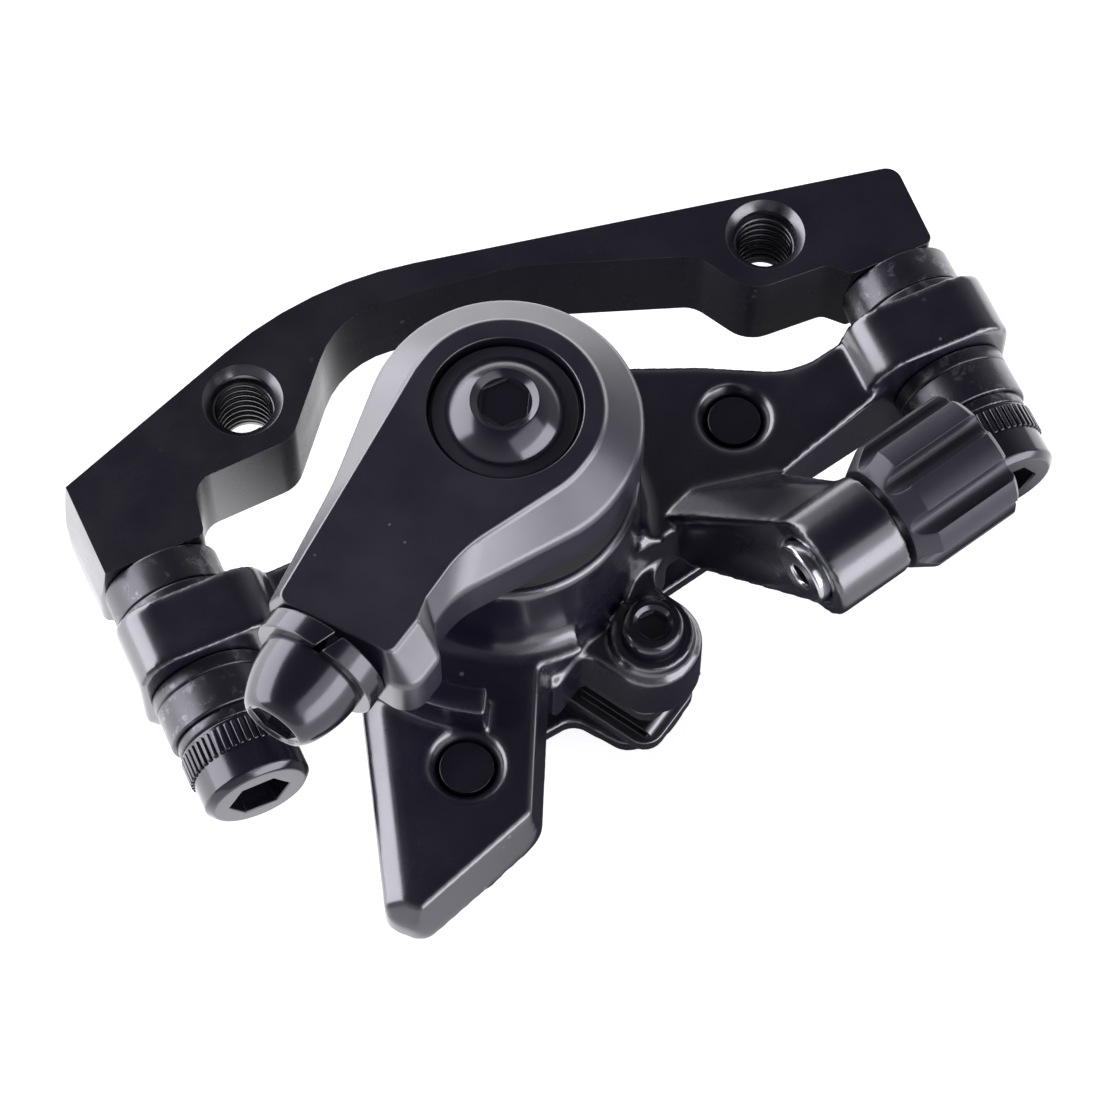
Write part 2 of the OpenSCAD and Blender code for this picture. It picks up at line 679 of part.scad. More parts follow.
module actuator_arm() {
    low = arm_outline(arm_r, 6.3, 6.3, 8.7, arm_l, face_slant, 2.2, 2.2, 8);
    top = arm_outline(arm_r - arm_bevel, 5.2, 5, 6.9, arm_l - 0.8, edge_slant, 0.5, 0.9, 13);
    color("#26252b") difference() {
        on_caliper() loft([[arm_low_z, low], [arm_z - arm_drop, low], [arm_z, top]]);
        on_caliper() {
            translate([0, 0, seat_z]) cylinder(d = recess_d, h = recess_h + cut);
            translate([0, 0, arm_low_z - cut]) cylinder(r = recess_in_r, h = recess_in_h + cut);
            translate([0, 0, arm_low_z - cut]) cylinder(r = hex_r + hex_gap, h = arm_t + 2 * cut, $fn = 6);
        }
        on_pinch() translate([0, 0, -pinch_thread_l - 1])
            cylinder(r = pinch_thread_d / 2 + thread_gap, h = pinch_thread_l + 1 + cut);
    }
}

module arm_washer() {
    color("#1b1b1e") on_caliper() translate([0, 0, seat_z])
        tube(recess_d / 2 - 0.3, pivot_bolt_d / 2 + bolt_gap, washer_t);
}

module arm_pivot_bolt() {
    color("#17171a") on_caliper() translate([0, 0, seat_z + washer_t]) difference() {
        union() {
            translate([0, 0, -pivot_bolt_l]) cylinder(d = pivot_bolt_d, h = pivot_bolt_l);
            intersection() {
                cylinder(d = pivot_head_d, h = pivot_head_h);
                translate([0, 0, pivot_head_h - pivot_dome_r]) sphere(r = pivot_dome_r, $fn = 64);
            }
        }
        translate([0, 0, pivot_head_h - 2.2]) socket(4, 2.2 + cut);
    }
}

// Shaft with a hexagon end for the arm and a flange with the ball track
module drive_shaft() {
    color("#77777c") on_caliper() difference() {
        union() {
            translate([0, 0, flange_z]) cylinder(d = piston_d, h = flange_t);
            translate([0, 0, flange_z]) cylinder(d = shaft_d, h = arm_low_z + recess_in_h - flange_z);
            translate([0, 0, arm_low_z]) cylinder(r = hex_r, h = seat_z - arm_low_z, $fn = 6);
        }
        translate([0, 0, seat_z + washer_t - pivot_bolt_l - cut])
            cylinder(r = pivot_bolt_d / 2 + thread_gap, h = pivot_bolt_l + cut);
        ball_track();
    }
}

// Round groove in which the balls run
module ball_track() {
    translate([0, 0, ball_z]) rotate_extrude() translate([track_r, 0]) circle(r = ball_d / 2 + run_gap);
}

module thrust_washer() {
    color("#8a6a3a") on_caliper() translate([0, 0, cap_z - thrust_t])
        tube(piston_d / 2 - 0.2, shaft_d / 2 + 0.3, thrust_t);
}

module on_balls() {
    on_caliper() for (i = [0 : ball_count - 1]) rotate([0, 0, 360 * i / ball_count])
        translate([track_r, 0, ball_z]) children();
}

cage_t = 1.4;
module ball_cage() {
    color("#b0894a") difference() {
        on_caliper() translate([0, 0, ball_z - cage_t / 2])
            tube(piston_d / 2, track_r - ball_d / 2 - 0.8, cage_t);
        on_balls() translate([0, 0, -cage_t]) cylinder(r = ball_d / 2 + run_gap, h = 2 * cage_t);
    }
}

module ramp_balls() {
    color("#c8c8cc") on_balls() sphere(d = ball_d);
}

magnet_d = 8;
magnet_t = 2;
module pressure_piston() {
    color("#77777c") on_caliper() difference() {
        translate([0, 0, outer_low_z]) cylinder(d = piston_d, h = piston_z - outer_low_z);
        ball_track();
        translate([0, 0, outer_low_z - cut]) cylinder(d = magnet_d, h = magnet_t + cut);
        translate([0, 0, piston_z - 7]) cylinder(d = track_r - 1, h = 7 + cut);
    }
}

module piston_magnet() {
    color("#a5a5aa") on_caliper() translate([0, 0, outer_low_z])
        cylinder(d = magnet_d - 2 * thread_gap, h = magnet_t);
}

// Length of the pad tabs beyond the pad pin
tab_end = 3;
// Pad outline with its tab towards the pad pin
module pad_plate(z) {
    on_caliper() difference() {
        translate([0, 0, z]) linear_extrude(plate_pad_t) polygon(outline([
            [pad_w / 2, -pad_h / 2, 1.5], [pad_w / 2, pad_h / 2, 3], [-pad_w / 2, pad_h / 2, 3],
            [-pad_w / 2, -pad_h / 2, 1.5], [-tab_w / 2, -pad_h / 2, 1], [-tab_w / 2, -pin_out - tab_end, 2],
            [tab_w / 2, -pin_out - tab_end, 2], [tab_w / 2, -pad_h / 2, 1]]));
        translate([0, -pin_out, z - cut]) cylinder(r = pin_d / 2 + pin_gap, h = plate_pad_t + 2 * cut);
    }
}

module lining(z) {
    on_caliper() translate([0, 0, z]) linear_extrude(lining_t)
        box2d([1 - pad_w / 2, 0.8 - pad_h / 2], [pad_w / 2 - 1, pad_h / 2 - 0.8], 2.4);
}

outer_pad_z = outer_low_z - pad_gap - plate_pad_t;
inner_pad_z = inner_top_z + pad_gap;

module outer_pad_plate() {
    color("#4a4a4e") pad_plate(outer_pad_z);
}

module outer_pad_lining() {
    color("#3b332c") lining(outer_pad_z - lining_t);
}

module inner_pad_plate() {
    color("#4a4a4e") pad_plate(inner_pad_z);
}

module inner_pad_lining() {
    color("#3b332c") lining(inner_pad_z + plate_pad_t);
}

seal_t = 1.4;
seal_depth = 0.9;
seal_z = inner_boss_z + 2.2;
module pad_adjuster_screw() {
    color("#5c5c62") on_caliper() difference() {
        translate([0, 0, inner_boss_z + 0.8]) cylinder(d = adjuster_d, h = inner_top_z - inner_boss_z - 0.8);
        translate([0, 0, inner_boss_z + 0.8 - cut]) socket(5, 3 + cut);
        translate([0, 0, seal_z]) tube(adjuster_d / 2 + cut, adjuster_d / 2 - seal_depth, seal_t);
    }
}

module adjuster_seal() {
    color("#111113") on_caliper() translate([0, 0, seal_z])
        tube(adjuster_d / 2, adjuster_d / 2 - seal_depth, seal_t);
}

module pad_pin_bolt() {
    color("#1b1b1e") on_pin() difference() {
        union() {
            translate([0, 0, pin_head_z]) cylinder(r = pin_head_r, h = pin_head_h);
            translate([0, 0, inner_low_z]) cylinder(d = pin_d, h = pin_head_z - inner_low_z);
        }
        translate([0, 0, pin_head_z + pin_head_h - 1.5]) socket(2.5, 1.5 + cut);
    }
}

// Leaf spring between the pads, a narrow hairpin held by the pad pin
spring_half = 1;
leaf_w = tab_w - 0.4;
spring_top = -11;
spring_end = pin_out + 2;
// Side view of the leaf: two flats joined by a round end, grown by g
module leaf_side(g) {
    translate([-spring_end, 0]) circle(r = spring_half + g);
    translate([-spring_end, -spring_half - g]) square([spring_end + spring_top, 2 * (spring_half + g)]);
}

module pad_spring() {
    color("#b9b9bf") on_caliper() difference() {
        translate([-leaf_w / 2, 0, disc_z]) rotate([90, 0, 90]) linear_extrude(leaf_w) difference() {
            leaf_side(0);
            leaf_side(-leaf_t);
        }
        translate([0, -pin_out, disc_z - 4]) cylinder(r = pin_d / 2 + 0.1, h = 8);
    }
}

barrel_out = 1;
knob_gap = 0.4;
knob_z = stop_l + knob_gap;
taper_l = 2;
taper_r = 1.2;
groove_r = 1.1;
socket_l = 6;
module barrel_screw() {
    color("#c4c4c8") on_stop() translate([0, 0, -barrel_out])
        tube(barrel_d / 2, cable_bore / 2, barrel_out + knob_z + knob_l - socket_l);
}

module barrel_knob() {
    color("#19191c") on_stop() translate([0, 0, knob_z]) difference() {
        union() {
            cylinder(d1 = knob_d - 2 * taper_r, d2 = knob_d, h = taper_l);
            translate([0, 0, taper_l]) cylinder(d = knob_d, h = knob_l - taper_l - 0.5);
            translate([0, 0, knob_l - 0.5]) cylinder(d1 = knob_d, d2 = knob_d - 1, h = 0.5);
        }
        for (i = [0 : knob_ribs - 1]) rotate([0, 0, 360 * i / knob_ribs])
            translate([knob_d / 2, 0, -cut]) cylinder(r = groove_r, h = knob_l + 2 * cut);
        translate([0, 0, -cut]) cylinder(r = barrel_d / 2 + run_gap, h = knob_l - socket_l + cut);
        translate([0, 0, knob_l - socket_l - cut]) cylinder(d = housing_bore, h = socket_l + 2 * cut);
    }
}

// Spring washer with a slanted split
module cable_pinch_washer() {
    color("#1b1b1e") on_pinch() difference() {
        tube(pinch_d / 2, pinch_thread_d / 2 + 0.2, pinch_t);
        rotate([0, 0, 160]) translate([2, -0.3, -cut]) rotate([-20, 0, 0]) cube([8, 0.6, pinch_t + 4 * cut]);
    }
}

// Bolt with a tall dome and a hexagon socket
dome_side = [for (i = [0 : 8]) [dome_d / 2 - 1.7 * pow(i / 8, 2.2), dome_h * i / 8]];
pinch_thread_l = 8;
module cable_pinch_bolt() {
    color("#1d1d20") on_pinch() translate([0, 0, pinch_t]) difference() {
        union() {
            translate([0, 0, -pinch_thread_l - pinch_t])
                cylinder(d = pinch_thread_d, h = pinch_thread_l + pinch_t);
            rotate_extrude() polygon(concat([[0, 0]], dome_side, [[0, dome_h]]));
        }
        translate([0, 0, dome_h - 3]) socket(4, 3 + cut);
    }
}

adapter_bracket();
post_mount_bolts();
upper_concave_washers();
upper_convex_washers();
lower_convex_washers();
lower_concave_washers();
flat_washers();
outer_body();
inner_body();
body_bolts();
shaft_bush();
dust_cover();
return_spring();
actuator_arm();
arm_washer();
arm_pivot_bolt();
drive_shaft();
thrust_washer();
ball_cage();
ramp_balls();
pressure_piston();
piston_magnet();
outer_pad_plate();
outer_pad_lining();
inner_pad_plate();
inner_pad_lining();
pad_adjuster_screw();
adjuster_seal();
pad_pin_bolt();
pad_spring();
barrel_screw();
barrel_knob();
cable_pinch_washer();
cable_pinch_bolt();
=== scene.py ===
"""Looks of a cable-pulled disc brake caliper on its adapter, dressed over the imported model."""

import json
import math

import bmesh
import bpy
from bpy.props import FloatProperty, FloatVectorProperty, IntProperty, PointerProperty
from bpy.types import Operator, Panel, PropertyGroup
from mathutils import Euler, Matrix, Vector


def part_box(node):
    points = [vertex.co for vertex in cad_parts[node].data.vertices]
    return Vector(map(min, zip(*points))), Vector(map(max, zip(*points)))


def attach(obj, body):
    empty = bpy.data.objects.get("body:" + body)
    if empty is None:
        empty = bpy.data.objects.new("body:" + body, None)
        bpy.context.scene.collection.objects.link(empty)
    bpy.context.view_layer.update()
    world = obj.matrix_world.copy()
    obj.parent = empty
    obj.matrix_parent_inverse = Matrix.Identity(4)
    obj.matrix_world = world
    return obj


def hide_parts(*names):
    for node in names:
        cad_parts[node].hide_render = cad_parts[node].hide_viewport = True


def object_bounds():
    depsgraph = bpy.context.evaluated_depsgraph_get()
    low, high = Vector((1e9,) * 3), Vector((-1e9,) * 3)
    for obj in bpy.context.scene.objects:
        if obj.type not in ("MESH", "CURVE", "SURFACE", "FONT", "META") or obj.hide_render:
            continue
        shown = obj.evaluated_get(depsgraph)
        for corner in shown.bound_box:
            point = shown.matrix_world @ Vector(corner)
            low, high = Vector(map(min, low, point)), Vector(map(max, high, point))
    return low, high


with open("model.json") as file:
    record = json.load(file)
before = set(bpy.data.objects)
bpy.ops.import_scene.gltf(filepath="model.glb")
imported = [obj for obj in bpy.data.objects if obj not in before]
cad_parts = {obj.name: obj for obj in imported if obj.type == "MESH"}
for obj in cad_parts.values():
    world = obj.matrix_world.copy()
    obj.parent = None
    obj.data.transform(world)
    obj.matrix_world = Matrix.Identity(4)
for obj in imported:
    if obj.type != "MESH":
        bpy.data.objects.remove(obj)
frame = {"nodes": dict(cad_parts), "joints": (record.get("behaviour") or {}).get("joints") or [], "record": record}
CAD_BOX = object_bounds()

bl_info = {
    "name": "Disc Brake Caliper Looks",
    "version": (1, 0, 0),
    "blender": (4, 5, 0),
    "location": "3D View > Sidebar > Caliper",
    "description": "Rounds, details and finishes the pieces of a disc brake caliper",
    "category": "Object",
}

MM = 0.001
RECORD = frame["record"]
BODY_OF = {node: body for body, nodes in RECORD["behaviour"]["bodies"].items() for node in nodes}

# Places of the construction that the details follow, from the joints and mounts of the record
PIVOT = Vector(next(joint["pos_m"] for joint in frame["joints"] if joint["name"] == "arm_pivot"))
FRAME_MOUNT = next(mount for mount in RECORD["mounts"] if mount["name"] == "frame_mount_holes")
HOLE_HALF = FRAME_MOUNT["dims"]["spacing_x_mm"] * MM / 2
HOLE_RADIUS = FRAME_MOUNT["dims"]["hole_r_mm"] * MM

# Layout of the caliper that the record doesn't hold: the caliper's turn on the adapter, the two post bolts,
# and the body bolts' places from the arm's pivot
CALIPER_TURN = math.radians(35)
POST_TILT = math.radians(4.5)
POST_START = Vector((-38.5 * MM, 0, -5 * MM))
POST_PITCH = 74 * MM
BOLT_HALF = 21 * MM
BOLT_OUT = 10.5 * MM

# The arm's length from its pivot in millimetres, and the slope of its end in degrees
ARM_LENGTH = 25.7
ARM_SLOPE = 2

# How near points are merged, in a copied or turned shape and after a cut, and how flat faces are joined
MERGE = 0.0005 * MM
CUT_MERGE = 0.001 * MM
FLAT_ANGLE = math.radians(0.4)
FEWEST_FACES = 12

# The floor, and the middle of the shadow that is painted on it for reflections
FLOOR_HEIGHT = CAD_BOX[0][2] - 0.5 * MM
PAINTED_SHADOW_CENTRE = Vector((14 * MM, -28 * MM, FLOOR_HEIGHT))

# Softboxes: direction to the camera's right, away from it and up, size in metres, share of the brightness
SOFTBOXES = (
    ("softbox_left", (-0.87, 0.33, 0.38), (1.0, 0.48), 1.0),
    ("softbox_right", (0.8, -0.56, 0.21), (0.68, 0.31), 1.0),
    ("softbox_fill", (0.58, -0.53, 0.62), (0.62, 0.3), 0.32),
)
SOFTBOX_DISTANCE = 0.6

# Bare metals: the name of the material, its colour and the range of its roughness
BARE_METALS = {
    "spring": ("spring_steel", (0.66, 0.66, 0.68), (0.16, 0.26)),
    "leaf": ("leaf_steel", (0.2, 0.2, 0.21), (0.26, 0.36)),
    "steel": ("ground_steel", (0.5, 0.5, 0.52), (0.2, 0.34)),
    "pad_steel": ("pad_plate_steel", (0.24, 0.24, 0.26), (0.3, 0.42)),
    "bronze": ("sintered_bronze", (0.5, 0.33, 0.14), (0.3, 0.45)),
    "brass": ("stamped_brass", (0.7, 0.52, 0.22), (0.2, 0.32)),
    "alloy": ("anodised_alloy", (0.4, 0.4, 0.43), (0.28, 0.4)),
}
RUBBER = (0.006, 0.006, 0.007)
LINING = (0.05, 0.04, 0.032)
LINING_GRAINS = (0.3, 0.22, 0.1)

# Sockets of a Mix node that mixes colours
MIX_FACTOR, MIX_FIRST, MIX_SECOND, MIX_RESULT = 0, 6, 7, 2


class CaliperColours(PropertyGroup):
    """Colours of the finishes"""

    casting: FloatVectorProperty(
        name="Casting", description="Gloss black paint of the two body halves", subtype="COLOR",
        size=3, min=0, max=1, default=(0.0056, 0.0049, 0.0140))
    adapter: FloatVectorProperty(
        name="Adapter", description="Satin black paint of the adapter", subtype="COLOR",
        size=3, min=0, max=1, default=(0.0040, 0.0035, 0.0115))
    arm: FloatVectorProperty(
        name="Arm", description="Satin black paint of the arm", subtype="COLOR",
        size=3, min=0, max=1, default=(0.0090, 0.0080, 0.0195))
    oxide: FloatVectorProperty(
        name="Black oxide", description="Black oxide of bolts and washers", subtype="COLOR",
        size=3, min=0, max=1, default=(0.0160, 0.0150, 0.0250))
    scuff: FloatVectorProperty(
        name="Scuffs", description="Bare metal where washers are scuffed", subtype="COLOR",
        size=3, min=0, max=1, default=(0.26, 0.26, 0.28))
    knob: FloatVectorProperty(
        name="Knob", description="Moulded plastic of the knob", subtype="COLOR",
        size=3, min=0, max=1, default=(0.0330, 0.0315, 0.0430))
    plated: FloatVectorProperty(
        name="Plating", description="Bright plating of the barrel", subtype="COLOR",
        size=3, min=0, max=1, default=(0.72, 0.73, 0.76))
    dust: FloatVectorProperty(
        name="Dust", description="Fine dust on the paint", subtype="COLOR",
        size=3, min=0, max=1, default=(0.12, 0.12, 0.13))


class CaliperShapes(PropertyGroup):
    """Roundings and counts of the details"""

    casting_voxel: FloatProperty(
        name="Casting detail", description="Size of the cells that blend the casting's corners",
        unit="LENGTH", min=0.2 * MM, max=1 * MM, default=0.28 * MM)
    casting_smooth: IntProperty(
        name="Casting rounding", description="Passes that soften the casting's edges",
        min=1, max=40, default=16)
    casting_kept: FloatProperty(
        name="Casting faces", description="Share of the softened casting's faces that is kept",
        subtype="FACTOR", min=0.1, max=1, default=0.64)
    edge_round: FloatProperty(
        name="Edge rounding", description="Radius of the paint-softened edges of the adapter",
        unit="LENGTH", min=0, max=1 * MM, default=0.45 * MM)
    arm_round: FloatProperty(
        name="Arm rounding", description="Radius of the arm's ridges", unit="LENGTH",
        min=0, max=1 * MM, default=0.45 * MM)
    hardware_round: FloatProperty(
        name="Hardware rounding", description="Radius of the edges of bolts and washers",
        unit="LENGTH", min=0, max=0.5 * MM, default=0.22 * MM)
    thread_pitch: FloatProperty(
        name="Thread pitch", description="Pitch of the threads in the frame holes", unit="LENGTH",
        min=0.5 * MM, max=1.5 * MM, default=1 * MM)
    knurls: IntProperty(
        name="Knurls", description="Ridges round each post bolt's head", min=12, max=80, default=48)


class CaliperStage(PropertyGroup):
    """Camera and light"""

    camera_place: FloatVectorProperty(
        name="Camera", description="Place of the camera", subtype="TRANSLATION", unit="LENGTH",
        size=3, default=(-57.81 * MM, -173.81 * MM, 340.74 * MM))
    camera_turn: FloatVectorProperty(
        name="Camera turn", description="Turn of the camera", subtype="EULER", size=3,
        default=(math.radians(25), 0, math.radians(-19.8)))
    lens: FloatProperty(
        name="Lens", description="Focal length on a 36 mm sensor, in millimetres",
        min=20, max=300, default=136.2)
    softbox: FloatProperty(
        name="Softbox", description="Brightness of the two side softboxes", min=0, max=20, default=4.2)
    light: FloatVectorProperty(
        name="Light", description="Tint of the softboxes and the room", subtype="COLOR", size=3,
        min=0, max=1, default=(0.925, 0.905, 1.0))


def object_from(bm, name):
    """A new object with smooth faces from a bmesh, which is used up."""
    for face in bm.faces:
        face.smooth = True
    mesh = bpy.data.meshes.new(name)
    bm.to_mesh(mesh)
    bm.free()
    piece = bpy.data.objects.new(name, mesh)
    bpy.context.scene.collection.objects.link(piece)
    return piece


def join_flat_faces(bm):
    bmesh.ops.dissolve_limit(bm, angle_limit=FLAT_ANGLE, verts=bm.verts, edges=bm.edges)


def copy_of(node, join_flats=True):
    """A bmesh of a node's own shape, with loose triangles merged and, if asked, flat faces joined."""
    bm = bmesh.new()
    bm.from_mesh(frame["nodes"][node].data)
    bmesh.ops.remove_doubles(bm, verts=bm.verts, dist=MERGE)
    if join_flats:
        join_flat_faces(bm)
    return bm


def bake(piece):
    """Applies the modifiers of a piece to its mesh."""
    graph = bpy.context.evaluated_depsgraph_get()
    mesh = bpy.data.meshes.new_from_object(piece.evaluated_get(graph))
    old = piece.data
    piece.modifiers.clear()
    piece.data = mesh
    bpy.data.meshes.remove(old)


def cut_away(piece, cutters, join_flats=True):
    """Takes the cutters' shapes out of a piece, removes the cutters and, if asked, joins flat faces."""
    for cutter in cutters:
        boolean = piece.modifiers.new("cut", "BOOLEAN")
        boolean.operation = "DIFFERENCE"
        boolean.solver = "EXACT"
        boolean.object = cutter
    bake(piece)
    for cutter in cutters:
        bpy.data.objects.remove(cutter)
    bm = bmesh.new()
    bm.from_mesh(piece.data)
    bmesh.ops.remove_doubles(bm, verts=bm.verts, dist=CUT_MERGE)
    if join_flats:
        join_flat_faces(bm)
    if len(bm.faces) < FEWEST_FACES:
        raise RuntimeError(piece.name + " was lost when its openings were cut")
    bm.to_mesh(piece.data)
    bm.free()


def round_edges(piece, radius, segments=3, angle=30):
    """Rounds the edges that turn by more than an angle in degrees, and keeps the flat faces flat."""
    bevel = piece.modifiers.new("rounded_edges", "BEVEL")
    bevel.width = radius
    bevel.segments = segments
    bevel.limit_method = "ANGLE"
    bevel.angle_limit = math.radians(angle)
    bevel.use_clamp_overlap = True
    flat = piece.modifiers.new("flat_faces", "WEIGHTED_NORMAL")
    flat.mode = "FACE_AREA"


def dress(piece, material, body, *nodes):
    """Gives a piece its finish and its body, and hides the nodes that it stands for."""
    piece.data.materials.clear()
    piece.data.materials.append(material)
    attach(piece, body)
    if nodes:
        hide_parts(*nodes)


def rounded_node(node, name, radius, material, join_flats=True):
    """A node's own shape with rounded edges, which stands for the node."""
    piece = object_from(copy_of(node, join_flats), name)
    round_edges(piece, radius)
    dress(piece, material, BODY_OF[node], node)


def finish_node(node, material):
    """Gives a node that keeps its own mesh a finish."""
    mesh = frame["nodes"][node].data
    mesh.materials.clear()
    mesh.materials.append(material)


def arc_points(centre, radius, start, sweep, steps):
    angles = [start + sweep * i / steps for i in range(steps + 1)]
    return [centre + radius * Vector((math.cos(angle), math.sin(angle))) for angle in angles]


def rounded_outline(corners, between):
    """Points of a closed outline from corners of (x, y, radius, steps) in millimetres, anticlockwise, with
    more steps between the corners."""
    arcs = []
    for i, (x, y, radius, steps) in enumerate(corners):
        here = Vector((x, y))
        before = (Vector(corners[i - 1][:2]) - here).normalized()
        after = (Vector(corners[(i + 1) % len(corners)][:2]) - here).normalized()
        half = before.angle(after) / 2
        centre = here + (before + after).normalized() * radius / math.sin(half)
        first = here + before * radius / math.tan(half) - centre
        side = 1 if before.cross(after) < 0 else -1
        start = math.atan2(first.y, first.x)
        arcs.append(arc_points(centre, radius, start, side * (math.pi - 2 * half), steps))
    points = []
    for arc, following in zip(arcs, arcs[1:] + arcs[:1]):
        points += arc + [arc[-1].lerp(following[0], i / between) for i in range(1, between)]
    return points


def caliper_matrix():
    """Place of the caliper, with local Z along the arm's pivot."""
    return Matrix.Translation(PIVOT) @ Matrix.Rotation(CALIPER_TURN, 4, "Z")


def post_matrix(i):
    """Place of a post bolt, with local Z along the bolt away from the adapter."""
    along = Vector((math.cos(POST_TILT), math.sin(POST_TILT), 0))
    place = POST_START + along * POST_PITCH * i
    return (Matrix.Translation(place) @ Matrix.Rotation(POST_TILT, 4, "Z")
            @ Matrix.Rotation(math.pi / 2, 4, "X"))


def turned(name, profile, matrix, segments=96):
    """A solid turned from (radius, height) points in millimetres, placed by a matrix."""
    bm = bmesh.new()
    verts = [bm.verts.new((r * MM, 0, z * MM)) for r, z in profile]
    edges = [bm.edges.new(pair) for pair in zip(verts, verts[1:])]
    bmesh.ops.spin(bm, geom=verts + edges, cent=(0, 0, 0), axis=(0, 0, 1), angle=2 * math.pi,
                   steps=segments, use_merge=True)
    bmesh.ops.remove_doubles(bm, verts=bm.verts, dist=MERGE)
    bmesh.ops.recalc_face_normals(bm, faces=bm.faces)
    bmesh.ops.transform(bm, matrix=matrix, verts=bm.verts)
    return object_from(bm, name)


def socket_bolt(node, name, profile, matrix, across, floor, radius):
    """A bolt turned from a profile, which stands for a node. Its hexagon socket has a width across flats and
    a floor's height in millimetres."""
    piece = turned(name, profile, matrix)
    reach = 8
    corner = across / 2 / math.cos(math.pi / 6) * MM
    bm = bmesh.new()
    bmesh.ops.create_cone(bm, cap_ends=True, segments=6, radius1=corner, radius2=corner, depth=reach * MM,
                          matrix=matrix @ Matrix.Translation((0, 0, (floor + reach / 2) * MM)))
    cut_away(piece, [object_from(bm, "hexagon")], join_flats=False)
    round_edges(piece, radius, segments=2, angle=25)
    dress(piece, finish("bolt"), BODY_OF[node], node)


def cylinder(name, radius, low, high, matrix):
    return turned(name, [(0, low), (radius, low), (radius, high), (0, high)], matrix)


# Node groups

def node_group(name, inputs, outputs):
    """An empty shader group with named sockets, and its input and output nodes."""
    group = bpy.data.node_groups.new(name, "ShaderNodeTree")
    for label, kind, default in inputs:
        socket = group.interface.new_socket(label, in_out="INPUT", socket_type=kind)
        if default is not None:
            socket.default_value = default
    for label, kind in outputs:
        group.interface.new_socket(label, in_out="OUTPUT", socket_type=kind)
    start = group.nodes.new("NodeGroupInput")
    end = group.nodes.new("NodeGroupOutput")
    start.location = (-900, 0)
    end.location = (600, 0)
    return group, start, end


def add(tree, kind, place, **settings):
    """A new node with its settings and the default values of its sockets."""
    node = tree.nodes.new(kind)
    node.location = place
    for key, value in settings.items():
        if key in node.inputs.keys():
            node.inputs[key].default_value = value
        else:
            setattr(node, key, value)
    return node


def ramp_between(tree, place, low, high, to_low=0.0, to_high=1.0):
    """A clamped change from one range of values to another."""
    node = add(tree, "ShaderNodeMapRange", place, clamp=True)
    for socket, value in zip(node.inputs[1:5], (low, high, to_low, to_high)):
        socket.default_value = value
    return node


def calculate(tree, operation, place, first=None, second=None):
    """A Math node, with the values of the sockets that nothing is linked to."""
    node = add(tree, "ShaderNodeMath", place, operation=operation)
    for socket, value in zip(node.inputs, (first, second)):
        if value is not None:
            socket.default_value = value
    return node


def paint_grain_group():
    """Fine unevenness of sprayed paint: a height and a slow mottle."""
    group, start, end = node_group(
        "Paint Grain",
        [("Vector", "NodeSocketVector", None), ("Scale", "NodeSocketFloat", 900.0)],
        [("Height", "NodeSocketFloat"), ("Mottle", "NodeSocketFloat")])
    link = group.links.new
    fine = add(group, "ShaderNodeTexNoise", (-500, 150), Detail=3.0, Roughness=0.55)
    slow = add(group, "ShaderNodeTexNoise", (-500, -150), Scale=110.0, Detail=4.0, Roughness=0.6)
    mottle = ramp_between(group, (-200, -150), 0.3, 0.7)
    link(start.outputs["Vector"], fine.inputs["Vector"])
    link(start.outputs["Scale"], fine.inputs["Scale"])
    link(start.outputs["Vector"], slow.inputs["Vector"])
    link(slow.outputs["Fac"], mottle.inputs["Value"])
    link(fine.outputs["Fac"], end.inputs["Height"])
    link(mottle.outputs["Result"], end.inputs["Mottle"])
    return group


def dust_group():
    """Sparse fine specks that lie on the paint."""
    group, start, end = node_group(
        "Dust Specks",
        [("Vector", "NodeSocketVector", None), ("Scale", "NodeSocketFloat", 420.0),
         ("Size", "NodeSocketFloat", 0.09)],
        [("Mask", "NodeSocketFloat")])
    link = group.links.new
    cells = add(group, "ShaderNodeTexVoronoi", (-600, 100), Randomness=1.0)
    patches = add(group, "ShaderNodeTexNoise", (-600, -200), Scale=70.0, Detail=2.0)
    gate = ramp_between(group, (-350, -200), 0.56, 0.66)
    near = calculate(group, "LESS_THAN", (-350, 100))
    mask = calculate(group, "MULTIPLY", (100, 0))
    link(start.outputs["Vector"], cells.inputs["Vector"])
    link(start.outputs["Scale"], cells.inputs["Scale"])
    link(start.outputs["Vector"], patches.inputs["Vector"])
    link(patches.outputs["Fac"], gate.inputs["Value"])
    link(cells.outputs["Distance"], near.inputs[0])
    link(start.outputs["Size"], near.inputs[1])
    link(near.outputs["Value"], mask.inputs[0])
    link(gate.outputs["Result"], mask.inputs[1])
    link(mask.outputs["Value"], end.inputs["Mask"])
    return group


